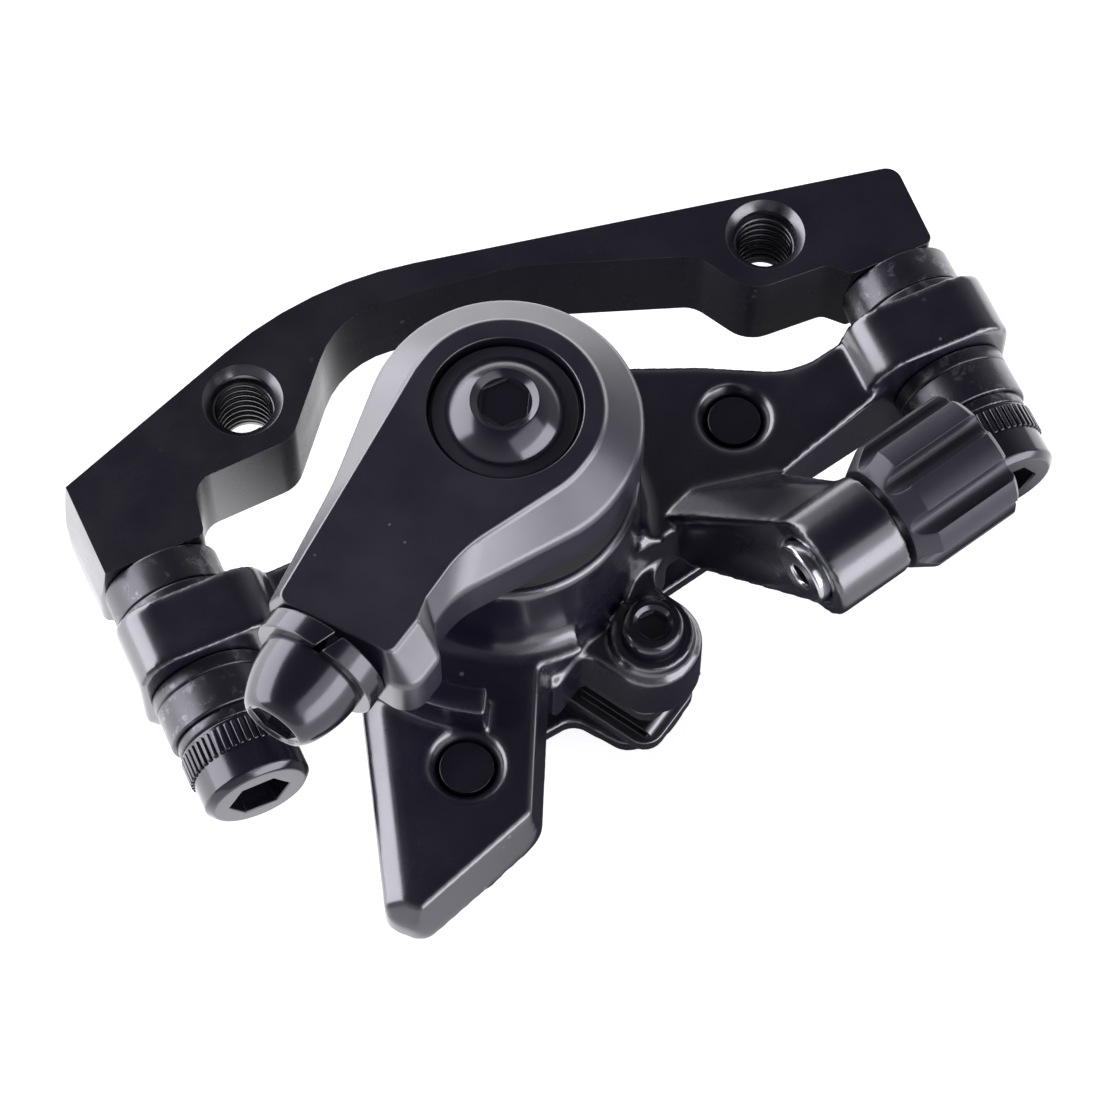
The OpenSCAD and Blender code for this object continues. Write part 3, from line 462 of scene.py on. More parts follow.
def scuff_group():
    """Patches and streaks where black oxide has rubbed away."""
    group, start, end = node_group(
        "Scuffs",
        [("Vector", "NodeSocketVector", None), ("Scale", "NodeSocketFloat", 500.0),
         ("Share", "NodeSocketFloat", 0.35)],
        [("Mask", "NodeSocketFloat"), ("Height", "NodeSocketFloat")])
    link = group.links.new
    patches = add(group, "ShaderNodeTexNoise", (-600, 150), Detail=6.0, Roughness=0.72, Distortion=0.4)
    streaks = add(group, "ShaderNodeTexNoise", (-600, -150), Scale=260.0, Detail=5.0, Roughness=0.6)
    full, patch_share, streak_share, soft_edge = 0.86, 0.6, 0.4, 0.09
    kept = calculate(group, "SUBTRACT", (-350, 250), first=full)
    both = calculate(group, "MULTIPLY_ADD", (-350, 0), second=patch_share)
    over = calculate(group, "SUBTRACT", (-100, 100))
    mask = ramp_between(group, (150, 100), 0.0, soft_edge)
    weak = calculate(group, "MULTIPLY", (-350, -200), second=streak_share)
    link(start.outputs["Vector"], patches.inputs["Vector"])
    link(start.outputs["Scale"], patches.inputs["Scale"])
    link(start.outputs["Vector"], streaks.inputs["Vector"])
    link(start.outputs["Share"], kept.inputs[1])
    link(streaks.outputs["Fac"], weak.inputs[0])
    link(patches.outputs["Fac"], both.inputs[0])
    link(weak.outputs["Value"], both.inputs[2])
    link(both.outputs["Value"], over.inputs[0])
    link(kept.outputs["Value"], over.inputs[1])
    link(over.outputs["Value"], mask.inputs["Value"])
    link(mask.outputs["Result"], end.inputs["Mask"])
    link(patches.outputs["Fac"], end.inputs["Height"])
    return group


def build_groups():
    """The effects that several finishes share."""
    return {"grain": paint_grain_group(), "dust": dust_group(), "scuff": scuff_group()}


def use_group(tree, group, place, coordinates, **values):
    """Places a shared effect in a material with its own values."""
    node = tree.nodes.new("ShaderNodeGroup")
    node.node_tree = group
    node.location = place
    for label, value in values.items():
        node.inputs[label].default_value = value
    tree.links.new(coordinates.outputs["Object"], node.inputs["Vector"])
    return node


def new_material(name):
    """A material with its tree, its shader and a node of texture coordinates."""
    material = bpy.data.materials.new(name)
    material.use_nodes = True
    tree = material.node_tree
    shader = tree.nodes["Principled BSDF"]
    coordinates = add(tree, "ShaderNodeTexCoord", (-1100, 0))
    return material, tree, shader, coordinates


def colour_into(tree, shader, mask, plain, marked):
    """Base colour that goes from the plain to the marked colour where the mask is."""
    node = add(tree, "ShaderNodeMix", (-300, 300), data_type="RGBA")
    node.inputs[MIX_FIRST].default_value = (*plain, 1)
    node.inputs[MIX_SECOND].default_value = (*marked, 1)
    tree.links.new(mask, node.inputs[MIX_FACTOR])
    tree.links.new(node.outputs[MIX_RESULT], shader.inputs["Base Color"])


def gloss_into(tree, shader, mottle, rough):
    """Roughness that changes slowly over the surface within a range."""
    gloss = ramp_between(tree, (-500, 0), 0.0, 1.0, *rough)
    tree.links.new(mottle, gloss.inputs["Value"])
    tree.links.new(gloss.outputs["Result"], shader.inputs["Roughness"])


def bump_into(tree, shader, height, strength, depth):
    """Bump of a depth in millimetres."""
    bump = add(tree, "ShaderNodeBump", (-300, -350), Strength=strength, Distance=depth * MM)
    tree.links.new(height, bump.inputs["Height"])
    tree.links.new(bump.outputs["Normal"], shader.inputs["Normal"])


def painted(name, colour, dust, groups, rough, coat=0.0, grain=900.0, depth=0.012, dust_size=0.09):
    """Sprayed black paint: fine grain, a slow change of gloss and sparse dust."""
    material, tree, shader, coordinates = new_material(name)
    grain_node = use_group(tree, groups["grain"], (-800, 0), coordinates, Scale=grain)
    dust_node = use_group(tree, groups["dust"], (-800, 300), coordinates, Size=dust_size)
    colour_into(tree, shader, dust_node.outputs["Mask"], colour, dust)
    gloss_into(tree, shader, grain_node.outputs["Mottle"], rough)
    shader.inputs["IOR"].default_value = 1.8
    shader.inputs["Specular IOR Level"].default_value = 0.85
    shader.inputs["Coat Weight"].default_value = coat
    shader.inputs["Coat Roughness"].default_value = 0.12
    bump_into(tree, shader, grain_node.outputs["Height"], 0.5, depth)
    return material


def oxide(name, colour, scuff, groups, rough, share, scale, metal, depth):
    """Black oxide on steel, rubbed bright in patches."""
    material, tree, shader, coordinates = new_material(name)
    scuff_node = use_group(tree, groups["scuff"], (-800, 200), coordinates, Scale=scale, Share=share)
    grain_node = use_group(tree, groups["grain"], (-800, -100), coordinates, Scale=1400.0)
    mask = scuff_node.outputs["Mask"]
    colour_into(tree, shader, mask, colour, scuff)
    gloss_into(tree, shader, grain_node.outputs["Mottle"], rough)
    bare = ramp_between(tree, (-300, 100), 0.0, 1.0, metal, 1.0)
    tree.links.new(mask, bare.inputs["Value"])
    tree.links.new(bare.outputs["Result"], shader.inputs["Metallic"])
    shader.inputs["IOR"].default_value = 1.65
    shader.inputs["Specular IOR Level"].default_value = 0.9
    bump_into(tree, shader, scuff_node.outputs["Height"], 0.4, depth)
    return material


def bare_metal(name, colour, groups, rough):
    """Plain metal with a fine grain and a slow change of tone."""
    material, tree, shader, coordinates = new_material(name)
    grain_node = use_group(tree, groups["grain"], (-800, 0), coordinates, Scale=1600.0)
    darkened = 0.8
    darker = [c * darkened for c in colour]
    colour_into(tree, shader, grain_node.outputs["Mottle"], darker, colour)
    gloss_into(tree, shader, grain_node.outputs["Mottle"], rough)
    shader.inputs["Metallic"].default_value = 1.0
    bump_into(tree, shader, grain_node.outputs["Height"], 0.25, 0.008)
    return material


def moulded(name, colour, groups, rough, grain=2200.0, depth=0.02, speckle=None):
    """Plastic, rubber or friction compound with a moulded grain, and fine dust unless it has a speckle."""
    material, tree, shader, coordinates = new_material(name)
    grain_node = use_group(tree, groups["grain"], (-800, 0), coordinates, Scale=grain)
    spot = 0.2 if speckle else 0.06
    dust_node = use_group(tree, groups["dust"], (-800, 300), coordinates, Scale=700.0, Size=spot)
    lighter = speckle or [min(1.0, c * 6 + 0.02) for c in colour]
    colour_into(tree, shader, dust_node.outputs["Mask"], colour, lighter)
    gloss_into(tree, shader, grain_node.outputs["Mottle"], rough)
    bump_into(tree, shader, grain_node.outputs["Height"], 0.6, depth)
    return material


FINISHES = {}


def finish(name):
    """The finish of that name, all of which are made once from the chosen colours."""
    if not FINISHES:
        groups = build_groups()
        c = bpy.context.scene.caliper_colours
        FINISHES.update({
            "casting": painted("casting_paint", c.casting, c.dust, groups, rough=(0.2, 0.3), coat=0.1),
            "adapter": painted("adapter_paint", c.adapter, c.dust, groups, rough=(0.22, 0.32), grain=700.0,
                               depth=0.014, dust_size=0.12),
            "arm": painted("arm_paint", c.arm, c.dust, groups, rough=(0.28, 0.38), grain=1100.0,
                           depth=0.01, dust_size=0.05),
            "bolt": oxide("bolt_oxide", c.oxide, c.scuff, groups, rough=(0.13, 0.22), share=0.12,
                          scale=420.0, metal=0.3, depth=0.008),
            "washer": oxide("washer_oxide", c.oxide, c.scuff, groups, rough=(0.22, 0.4), share=0.33,
                            scale=760.0, metal=0.3, depth=0.05),
            "plated": bare_metal("bright_plating", c.plated, groups, rough=(0.1, 0.2)),
            "knob": moulded("knob_plastic", c.knob, groups, rough=(0.3, 0.42)),
            "rubber": moulded("black_rubber", RUBBER, groups, rough=(0.55, 0.7), grain=1500.0, depth=0.012),
            "lining": moulded("friction_compound", LINING, groups, rough=(0.75, 0.9), grain=1800.0,
                              depth=0.08, speckle=LINING_GRAINS),
        })
        for key, (label, colour, rough) in BARE_METALS.items():
            FINISHES[key] = bare_metal(label, colour, groups, rough)
    return FINISHES[name]


class CALIPER_OT_adapter(Operator):
    """Rounds the adapter's edges and cuts the threads of its frame holes"""

    bl_idname = "caliper.adapter"
    bl_label = "Adapter"

    def execute(self, context):
        shapes = context.scene.caliper_shapes
        low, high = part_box("adapter_bracket")
        piece = object_from(copy_of("adapter_bracket"), "adapter_rounded")
        section = self.bore(low.z / MM, high.z / MM)
        cut_away(piece, [turned("bore", section, Matrix.Translation((side * HOLE_HALF, 0, 0)))
                         for side in (-1, 1)])
        round_edges(piece, shapes.edge_round)
        dress(piece, finish("adapter"), "adapter", "adapter_bracket")
        lead_in, bare_turns = 0.7 * MM, 2.2
        turns = (high.z - low.z) / shapes.thread_pitch - bare_turns
        threads = self.threads(shapes.thread_pitch, low.z + lead_in, turns)
        dress(threads, finish("adapter"), "adapter")
        return {"FINISHED"}

    @staticmethod
    def bore(bottom, top):
        """Section of a frame hole: a collar below, room for the threads and a countersink above."""
        root = HOLE_RADIUS / MM + 0.45
        crest = HOLE_RADIUS / MM + 0.04
        collar, collar_end, sink, flare, past = 0.5, 0.9, 0.8, 0.75, 1
        return [(0, bottom - past), (crest, bottom - past), (crest, bottom + collar),
                (root, bottom + collar_end), (root, top - sink), (root + flare, top),
                (root + flare, top + past), (0, top + past)]

    @staticmethod
    def threads(pitch, start, turns):
        """One helical ridge in each frame hole, with its half widths as shares of the pitch."""
        root, crest, foot, tip = 3.0, 2.56, 0.44, 0.07
        steps = 36
        bm = bmesh.new()
        for side in (-1, 1):
            ridge = [bm.verts.new((side * HOLE_HALF + r * MM, 0, start + z * pitch))
                     for r, z in ((root, -foot), (root, foot), (crest, tip), (crest, -tip))]
            face = bm.faces.new(ridge)
            bmesh.ops.spin(bm, geom=[face, *face.edges, *face.verts], cent=(side * HOLE_HALF, 0, 0),
                           axis=(0, 0, 1), dvec=(0, 0, pitch / steps), angle=2 * math.pi * turns,
                           steps=int(turns * steps))
        bmesh.ops.recalc_face_normals(bm, faces=bm.faces)
        return object_from(bm, "frame_hole_threads")


class CALIPER_OT_post_hardware(Operator):
    """Rounds the post bolts and washers and knurls the bolts' heads"""

    bl_idname = "caliper.post_hardware"
    bl_label = "Post bolts and washers"

    def execute(self, context):
        shapes = context.scene.caliper_shapes
        rounded_node("post_mount_bolts", "post_bolts_rounded", shapes.hardware_round, finish("bolt"))
        for node in ("upper_concave_washers", "upper_convex_washers", "lower_convex_washers",
                     "lower_concave_washers", "flat_washers"):
            rounded_node(node, node + "_rounded", shapes.hardware_round, finish("washer"))
        knurl = self.knurl(shapes.knurls)
        dress(knurl, finish("bolt"), "adapter")
        return {"FINISHED"}

    @staticmethod
    def knurl(count):
        """A ring of fine ridges round the near part of each bolt's head, in millimetres."""
        head_start, head_radius = 29.9, 5.0
        depth, width, length, softened = 0.5, 0.44, 2.4, 0.1
        bm = bmesh.new()
        for i in (0, 1):
            matrix = post_matrix(i)
            place = (matrix @ Matrix.Translation((head_radius * MM, 0, (head_start + length / 2) * MM))
                     @ Matrix.Diagonal((depth * MM, width * MM, length * MM, 1)))
            ridge = bmesh.ops.create_cube(bm, size=1, matrix=place)["verts"]
            edges = list({e for v in ridge for e in v.link_edges})
            made = bmesh.ops.bevel(bm, geom=edges, offset=softened * MM, segments=2, profile=0.5,
                                   affect="EDGES", material=-1, clamp_overlap=True)
            faces = list({f for v in made["verts"] for f in v.link_faces})
            edges = list({e for f in faces for e in f.edges})
            verts = list({v for f in faces for v in f.verts})
            bmesh.ops.spin(bm, geom=faces + edges + verts, cent=matrix.translation, axis=matrix.col[2].xyz,
                           angle=2 * math.pi * (count - 1) / count, steps=count - 1, use_duplicate=True)
        return object_from(bm, "post_bolt_knurls")


class CALIPER_OT_castings(Operator):
    """Blends the corners of the two cast body halves"""

    bl_idname = "caliper.castings"
    bl_label = "Cast body halves"

    def execute(self, context):
        shapes = context.scene.caliper_shapes
        for node, name in (("outer_body", "outer_casting"), ("inner_body", "inner_casting")):
            self.casting(node, name, shapes)
        rounded_node("body_bolts", "body_bolts_rounded", shapes.hardware_round, finish("bolt"))
        return {"FINISHED"}

    @staticmethod
    def casting(node, name, shapes):
        """A node's own shape with every corner softened, as casting and paint leave it. The cells lie
        along the caliper while it is softened."""
        straight = Matrix.Rotation(-CALIPER_TURN, 4, "Z")
        bm = copy_of(node)
        bmesh.ops.triangulate(bm, faces=bm.faces)
        if node == "outer_body":
            CALIPER_OT_castings.fillets(bm)
            CALIPER_OT_castings.dishes(bm)
        bmesh.ops.transform(bm, matrix=straight, verts=bm.verts)
        piece = object_from(bm, name)
        cells = piece.modifiers.new("cells", "REMESH")
        cells.mode = "VOXEL"
        cells.voxel_size = shapes.casting_voxel
        cells.use_smooth_shade = True
        soft = piece.modifiers.new("soft", "SMOOTH")
        soft.factor = 0.5
        soft.iterations = shapes.casting_smooth
        thin = piece.modifiers.new("thin", "DECIMATE")
        thin.ratio = shapes.casting_kept
        bake(piece)
        piece.data.transform(straight.inverted())
        dress(piece, finish("casting"), BODY_OF[node], node)

    @staticmethod
    def dishes(bm):
        """Sloping rings round the ends of the body bolts: radii and heights in millimetres."""
        inner, outer, low, lip, face = 2.6, 3.6, -4.6, -3.3, -2.0
        section = [(inner, low), (outer, low), (outer, face), (inner, lip), (inner, low)]
        for side in (-1, 1):
            place = caliper_matrix() @ Matrix.Translation((side * BOLT_HALF, -BOLT_OUT, 0))
            ring = turned("bolt_dish", section, place, segments=48)
            bm.from_mesh(ring.data)
            bpy.data.objects.remove(ring)

    @staticmethod
    def fillets(bm):
        """Hollow fillets where the round housing meets the body's face, swept over part of its foot."""
        radius, foot, size, buried = 11.9, -2.0, 2.2, 1
        steps, sweep_steps = 7, 40
        sweeps = ((150, 95), (-62, 88))
        hollow = [(radius + size - size * math.sin(math.pi / 2 * i / steps),
                   foot + size - size * math.cos(math.pi / 2 * i / steps)) for i in range(steps + 1)]
        profile = [(radius - buried, foot - buried), (radius + size, foot - buried), *hollow,
                   (radius - buried, foot + size)]
        for start, sweep in sweeps:
            face = bm.faces.new([bm.verts.new((r * MM, 0, z * MM)) for r, z in profile])
            place = caliper_matrix() @ Matrix.Rotation(math.radians(start), 4, "Z")
            bmesh.ops.transform(bm, matrix=place, verts=face.verts)
            bmesh.ops.spin(bm, geom=[face, *face.edges, *face.verts], cent=PIVOT, axis=(0, 0, 1),
                           angle=math.radians(sweep), steps=sweep_steps)
        bmesh.ops.recalc_face_normals(bm, faces=bm.faces)


class CALIPER_OT_arm(Operator):
    """Builds the actuator arm with its wide bevel"""

    bl_idname = "caliper.arm"
    bl_label = "Actuator arm"

    def execute(self, context):
        shapes = context.scene.caliper_shapes
        low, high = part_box("actuator_arm")
        bottom, top = low.z / MM, high.z / MM
        wide = self.outline(radius=12.0, upper=6.3, lower=6.3, middle=8.7, length=ARM_LENGTH,
                            slope=ARM_SLOPE, flare=2.2, corner=2.2, neck=8)
        narrow = self.outline(radius=8.5, upper=5.2, lower=5.0, middle=6.9, length=ARM_LENGTH - 0.8,
                              slope=8, flare=0.5, corner=0.9, neck=13)
        bm = bmesh.new()
        ring = [bm.verts.new((p.x * MM, p.y * MM, bottom * MM)) for p in wide]
        face = bm.faces.new(ring)
        for inward, height in self.side(top):
            face = bmesh.ops.extrude_discrete_faces(bm, faces=[face])["faces"][0]
            for vert, p, q in zip(face.verts, wide, narrow):
                here = p.lerp(q, inward)
                vert.co = (here.x * MM, here.y * MM, height * MM)
        bmesh.ops.holes_fill(bm, edges=bm.edges, sides=0)
        bmesh.ops.recalc_face_normals(bm, faces=bm.faces)
        place = caliper_matrix()
        bmesh.ops.transform(bm, matrix=place, verts=bm.verts)
        piece = object_from(bm, "arm_bevelled")
        counterbore = cylinder("counterbore", radius=6.7, low=top - 1.6, high=top + 2, matrix=place)
        spring_room = cylinder("spring_room", radius=10.6, low=bottom - 2, high=bottom + 2.8, matrix=place)
        cut_away(piece, [counterbore, spring_room])
        round_edges(piece, shapes.arm_round, segments=4, angle=20)
        dress(piece, finish("arm"), "arm", "actuator_arm")
        return {"FINISHED"}

    @staticmethod
    def side(top):
        """Steps up the arm's side: how far in towards the flat face, and the height."""
        drop, shoulder_drop, rim, shoulder = 2.8, 0.7, 0.4, 6
        bevel_start, bevel_end, drop_share = 0.14, 0.93, 0.88
        low = Vector((0, top - drop - shoulder_drop))
        bend = Vector((0, top - drop))
        high = Vector((bevel_start, top - drop * drop_share))
        steps = []
        for i in range(shoulder + 1):
            t = i / shoulder
            steps.append(low.lerp(bend, t).lerp(bend.lerp(high, t), t))
        return steps + [Vector((bevel_end, top - rim)), Vector((1, top))]

    @staticmethod
    def outline(radius, upper, lower, middle, length, slope, flare, corner, neck):
        """The arm seen from above: its radius round the pivot, its half widths, its end's slope in degrees
        and its cable corner."""
        slant = math.tan(math.radians(slope))
        hub = radius - 0.02
        waist, neck_radius, neck_share = -13, 8.7, 0.86
        neck_x = waist - (radius - neck_radius) * neck_share
        flare_end, flare_start = 4.6 - length, 6.6 - length
        return rounded_outline([
            (radius, -radius, hub, 24),
            (radius, radius, hub, 24),
            (-0.16 * radius, radius, hub, 5),
            (waist, middle, 30, 2),
            (-length - upper * slant, upper, 1, 10),
            (-length + (lower + flare) * slant, -lower - flare, corner, 12),
            (flare_end, -lower - flare, 1.2, 6),
            (flare_start, -lower, 1.2, 6),
            (neck_x, -lower + 0.2, neck, 10),
            (-0.26 * radius, -radius, hub, 7),
        ], between=12)


class CALIPER_OT_arm_hardware(Operator):
    """Rounds the arm's bolts and washers and its dust cover"""

    bl_idname = "caliper.arm_hardware"
    bl_label = "Arm bolts and dust cover"

    def execute(self, context):
        fine = context.scene.caliper_shapes.hardware_round
        self.pivot_bolt(0.7 * fine)
        self.pinch_bolt(0.7 * fine)
        rounded_node("arm_washer", "arm_washer_rounded", fine, finish("arm"))
        rounded_node("cable_pinch_washer", "pinch_washer_rounded", fine, finish("bolt"))
        rounded_node("dust_cover", "dust_cover_rounded", fine, finish("rubber"))
        return {"FINISHED"}

    @staticmethod
    def pivot_bolt(rounding):
        """Domed head whose socket has a round, countersunk rim."""
        low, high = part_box("arm_pivot_bolt")
        bottom, top = low.z / MM, high.z / MM
        seat, shank, head, dome, rim = top - 3.3, 2.95, 5.2, 6.4, 2.95
        sink_radius, sink, socket, key = 2.36, 1.25, 1.55, 4
        steps = 24
        radii = [head + (rim - head) * i / steps for i in range(steps + 1)]
        profile = [(0, bottom), (shank, bottom), (shank, seat), (head, seat)]
        profile += [(r, top - dome + math.sqrt(dome ** 2 - r ** 2)) for r in radii]
        profile += [(sink_radius, top - sink), (0, top - sink)]
        socket_bolt("arm_pivot_bolt", "pivot_bolt_domed", profile, caliper_matrix(), key, top - socket,
                    rounding)

    @staticmethod
    def pinch_bolt(rounding):
        """Tall dome with a rounded end."""
        low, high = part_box("actuator_arm")
        place = (caliper_matrix()
                 @ Matrix.Translation((-ARM_LENGTH * MM, 0, (low.z + high.z) / 2 - PIVOT.z))
                 @ Matrix.Rotation(math.pi + math.radians(ARM_SLOPE), 4, "Z")
                 @ Matrix.Rotation(math.pi / 2, 4, "Y"))
        seat, height, foot, taper = 2.1, 6.0, 4.7, 1.7
        tail, shank, crown, rim = -8, 2.9, 3.0, 2.5
        sink_radius, sink, socket, key = 2.36, 0.25, 0.9, 4
        end = seat + height
        steps, side_steps, crown_steps, swell = 20, 18, 8, 2.2
        profile = [(0, tail), (shank, tail), (shank, seat)]
        profile += [(foot - taper * (i / steps) ** swell, seat + height * i / steps)
                    for i in range(side_steps)]
        start, bend, stop = Vector(profile[-1]), Vector((crown, end)), Vector((rim, end))
        for i in range(1, crown_steps + 1):
            t = i / crown_steps
            profile.append(tuple(start.lerp(bend, t).lerp(bend.lerp(stop, t), t)))
        profile += [(sink_radius, end - sink), (0, end - sink)]
        socket_bolt("cable_pinch_bolt", "pinch_bolt_domed", profile, place, key, end - socket, rounding)


class CALIPER_OT_cable_adjuster(Operator):
    """Rounds the barrel adjuster and its knob"""

    bl_idname = "caliper.cable_adjuster"
    bl_label = "Cable adjuster"

    def execute(self, context):
        fine = context.scene.caliper_shapes.hardware_round
        rounded_node("barrel_knob", "knob_rounded", fine, finish("knob"), join_flats=False)
        rounded_node("barrel_screw", "barrel_rounded", 1.5 * fine, finish("plated"))
        return {"FINISHED"}


class CALIPER_OT_pads(Operator):
    """Rounds the pads, their pin and their spring"""

    bl_idname = "caliper.pads"
    bl_label = "Pads"

    def execute(self, context):
        fine = context.scene.caliper_shapes.hardware_round
        for side in ("outer", "inner"):
            rounded_node(side + "_pad_plate", side + "_plate_rounded", fine, finish("pad_steel"))
            rounded_node(side + "_pad_lining", side + "_lining_rounded", 1.5 * fine, finish("lining"))
        self.pin(fine)
        rounded_node("pad_spring", "pad_spring_rounded", 0.3 * fine, finish("leaf"))
        rounded_node("pad_adjuster_screw", "adjuster_rounded", fine, finish("alloy"))
        return {"FINISHED"}

    @staticmethod
    def pin(rounding):
        """Pin with a low head, rounded on top, and a round-rimmed socket."""
        low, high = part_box("pad_pin_bolt")
        bottom, top = low.z / MM, high.z / MM
        middle = (low + high) / 2
        place = Matrix.Translation((middle.x, middle.y, 0)) @ Matrix.Rotation(CALIPER_TURN, 4, "Z")
        shank, head, seat, edge, rim = 1.95, 2.8, top - 2, 0.8, 1.8
        sink_radius, sink, socket, key = 1.48, 0.4, 0.9, 2.5
        steps = 6
        corner = [(head - edge + edge * math.cos(a), top - edge + edge * math.sin(a))
                  for a in (math.pi / 2 * i / steps for i in range(steps + 1))]
        profile = [(0, bottom), (shank, bottom), (shank, seat), (head, seat)] + corner
        profile += [(rim, top), (sink_radius, top - sink), (0, top - sink)]
        socket_bolt("pad_pin_bolt", "pad_pin_rounded", profile, place, key, top - socket, 0.5 * rounding)


class CALIPER_OT_drive(Operator):
    """Finishes the enclosed pieces of the drive"""

    bl_idname = "caliper.drive"
    bl_label = "Drive"

    def execute(self, context):
        for node, name in (("shaft_bush", "bronze"), ("thrust_washer", "bronze"),
                           ("return_spring", "spring"), ("drive_shaft", "steel"),
                           ("pressure_piston", "steel"), ("ball_cage", "brass"), ("ramp_balls", "plated"),
                           ("piston_magnet", "plated"), ("adjuster_seal", "rubber")):
            finish_node(node, finish(name))
        return {"FINISHED"}


class CALIPER_OT_stage(Operator):
    """Sets the floor, the softboxes and the camera"""

    bl_idname = "caliper.stage"
    bl_label = "Stage"

    def execute(self, context):
        stage = context.scene.caliper_stage
        scene = context.scene
        scene.view_settings.view_transform = "Standard"
        self.floor()
        self.world(scene, stage.light)
        turn = stage.camera_turn[2]
        right = Vector((math.cos(turn), math.sin(turn), 0))
        back = Vector((-math.sin(turn), math.cos(turn), 0))
        up = Vector((0, 0, 1))
        for name, (rightward, backward, upward), size, share in SOFTBOXES:
            direction = rightward * right + backward * back + upward * up
            self.softbox(name, direction, size, share * stage.softbox, stage.light)
        camera = bpy.data.cameras.new("camera")
        camera.lens = stage.lens
        camera.sensor_width = 36
        camera.clip_start = 0.01
        view = bpy.data.objects.new("camera", camera)
        view.location = stage.camera_place
        view.rotation_euler = Euler(stage.camera_turn)
        scene.collection.objects.link(view)
        scene.camera = view
        return {"FINISHED"}

    @staticmethod
    def softbox(name, direction, size, brightness, light):
        """A flat lamp that faces the object from a direction."""
        lamp = bpy.data.lights.new(name, "AREA")
        lamp.color = light
        lamp.shape = "RECTANGLE"
        lamp.size, lamp.size_y = size
        lamp.energy = brightness * math.pi * size[0] * size[1]
        holder = bpy.data.objects.new(name, lamp)
        way = direction.normalized()
        holder.location = way * SOFTBOX_DISTANCE
        holder.rotation_euler = way.to_track_quat("Z", "Y").to_euler()
        bpy.context.scene.collection.objects.link(holder)

    @staticmethod
    def floor():
        """White ground. It takes the object's shadow from the lamps, and reflections see a painted shadow, dark
        below the object, and painted shade that makes it dimmer in front."""
        white, camera_glow = 0.86, 0.65
        # Painted shadow for reflections: their floor colour goes from darkest at shadow_start to white at
        # shadow_end
        shadow_start, shadow_end, darkest = 0.0335, 0.046, 0.14
        # Painted shade for reflections: the floor's glow is dimmer in front, from front_glow to back_glow
        front, back, front_glow, back_glow = -0.07, -0.03, 0.3, 1.5
        bm = bmesh.new()
        bmesh.ops.create_grid(bm, x_segments=1, y_segments=1, size=3,
                              matrix=Matrix.Translation((0, 0, FLOOR_HEIGHT)))
        floor = object_from(bm, "floor")
        material, tree, shader, coordinates = new_material("white_floor_with_painted_shadow")
        link = tree.links.new
        shader.inputs["Roughness"].default_value = 0.9
        shader.inputs["Specular IOR Level"].default_value = 0.0
        shader.inputs["Emission Color"].default_value = (1, 1, 1, 1)
        path = add(tree, "ShaderNodeLightPath", (-800, -300))
        seen = calculate(tree, "MULTIPLY", (-550, -200), second=camera_glow)
        mirrored = calculate(tree, "MAXIMUM", (-550, -400))
        under = add(tree, "ShaderNodeMapping", (-1300, -500), Location=-PAINTED_SHADOW_CENTRE)
        away = add(tree, "ShaderNodeVectorMath", (-1050, -500), operation="LENGTH")
        # Painted light: reflections see the floor glow only outside the painted shadow
        outside_painted_shadow = ramp_between(tree, (-800, -500), shadow_start, shadow_end, 0.0, 1.0)
        # Painted shadow: the floor's colour in reflections, darker towards the shadow's middle
        painted_shadow_tone = ramp_between(tree, (-800, -800), shadow_start, shadow_end, darkest, 1.0)
        across = add(tree, "ShaderNodeSeparateXYZ", (-1050, -1000))
        # Painted shade: the glow that reflections see, dimmer towards the front
        painted_front_shade = ramp_between(tree, (-800, -1000), front, back, front_glow, back_glow)
        painted_reflection_glow = calculate(tree, "MULTIPLY", (-550, -1000))
        tone = calculate(tree, "MULTIPLY", (-550, -700), second=white)
        shade = add(tree, "ShaderNodeMix", (-550, 100), data_type="RGBA")
        shade.inputs[MIX_FIRST].default_value = (white, white, white, 1)
        glow = calculate(tree, "MULTIPLY_ADD", (-300, -300))
        link(path.outputs["Is Camera Ray"], seen.inputs[0])
        link(path.outputs["Is Glossy Ray"], mirrored.inputs[0])
        link(path.outputs["Is Transmission Ray"], mirrored.inputs[1])
        link(coordinates.outputs["Object"], under.inputs["Vector"])
        link(under.outputs["Vector"], away.inputs[0])
        link(away.outputs["Value"], outside_painted_shadow.inputs["Value"])
        link(away.outputs["Value"], painted_shadow_tone.inputs["Value"])
        link(painted_shadow_tone.outputs["Result"], tone.inputs[0])
        link(mirrored.outputs["Value"], shade.inputs[MIX_FACTOR])
        link(tone.outputs["Value"], shade.inputs[MIX_SECOND])
        link(shade.outputs[MIX_RESULT], shader.inputs["Base Color"])
        link(coordinates.outputs["Object"], across.inputs["Vector"])
        link(across.outputs["Y"], painted_front_shade.inputs["Value"])
        link(outside_painted_shadow.outputs["Result"], painted_reflection_glow.inputs[0])
        link(painted_front_shade.outputs["Result"], painted_reflection_glow.inputs[1])
        link(mirrored.outputs["Value"], glow.inputs[0])
        link(painted_reflection_glow.outputs["Value"], glow.inputs[1])
        link(seen.outputs["Value"], glow.inputs[2])
        link(glow.outputs["Value"], shader.inputs["Emission Strength"])
        floor.data.materials.append(material)

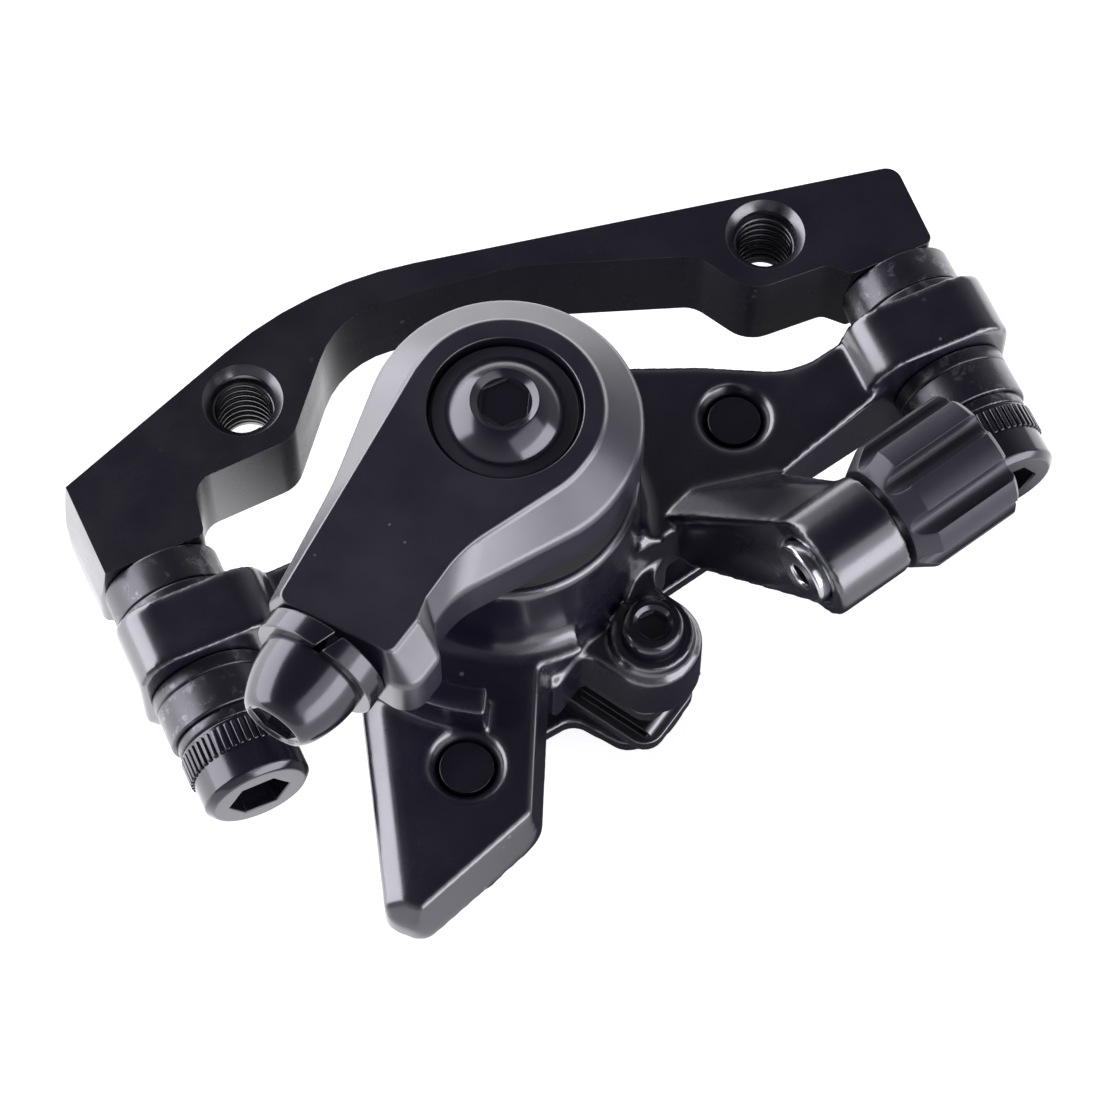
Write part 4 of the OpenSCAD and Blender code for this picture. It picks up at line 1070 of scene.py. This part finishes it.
    @staticmethod
    def world(scene, light):
        """A room that is brighter round the sides than overhead."""
        side_height, top_height, side_light, top_light = 0.28, 0.84, 0.42, 0.05
        world = bpy.data.worlds.new("studio")
        world.use_nodes = True
        tree = world.node_tree
        background = tree.nodes["Background"]
        background.inputs["Color"].default_value = (*light, 1)
        coordinates = add(tree, "ShaderNodeTexCoord", (-800, 0))
        direction = add(tree, "ShaderNodeSeparateXYZ", (-600, 0))
        dimmed = ramp_between(tree, (-400, 0), side_height, top_height, side_light, top_light)
        tree.links.new(coordinates.outputs["Generated"], direction.inputs["Vector"])
        tree.links.new(direction.outputs["Z"], dimmed.inputs["Value"])
        tree.links.new(dimmed.outputs["Result"], background.inputs["Strength"])
        scene.world = world


class CALIPER_PT_panel(Panel):
    """Lists the steps in the sidebar"""

    bl_label = "Caliper"
    bl_idname = "CALIPER_PT_panel"
    bl_space_type = "VIEW_3D"
    bl_region_type = "UI"
    bl_category = "Caliper"

    def draw(self, context):
        for step in STEPS:
            self.layout.operator(step.bl_idname)
        for group in ("caliper_colours", "caliper_shapes", "caliper_stage"):
            values = getattr(context.scene, group)
            for name in values.__annotations__:
                self.layout.prop(values, name)


STEPS = (CALIPER_OT_adapter, CALIPER_OT_post_hardware, CALIPER_OT_castings, CALIPER_OT_arm,
         CALIPER_OT_arm_hardware, CALIPER_OT_cable_adjuster, CALIPER_OT_pads, CALIPER_OT_drive,
         CALIPER_OT_stage)
GROUPS = {"caliper_colours": CaliperColours, "caliper_shapes": CaliperShapes, "caliper_stage": CaliperStage}
CLASSES = (*GROUPS.values(), *STEPS, CALIPER_PT_panel)


def register():
    for cls in CLASSES:
        bpy.utils.register_class(cls)
    for name, group in GROUPS.items():
        setattr(bpy.types.Scene, name, PointerProperty(type=group))


def unregister():
    for name in GROUPS:
        delattr(bpy.types.Scene, name)
    for cls in reversed(CLASSES):
        bpy.utils.unregister_class(cls)


def main():
    register()
    bpy.ops.caliper.adapter()
    bpy.ops.caliper.post_hardware()
    bpy.ops.caliper.castings()
    bpy.ops.caliper.arm()
    bpy.ops.caliper.arm_hardware()
    bpy.ops.caliper.cable_adjuster()
    bpy.ops.caliper.pads()
    bpy.ops.caliper.drive()
    bpy.ops.caliper.stage()


if __name__ == "__main__":
    main()
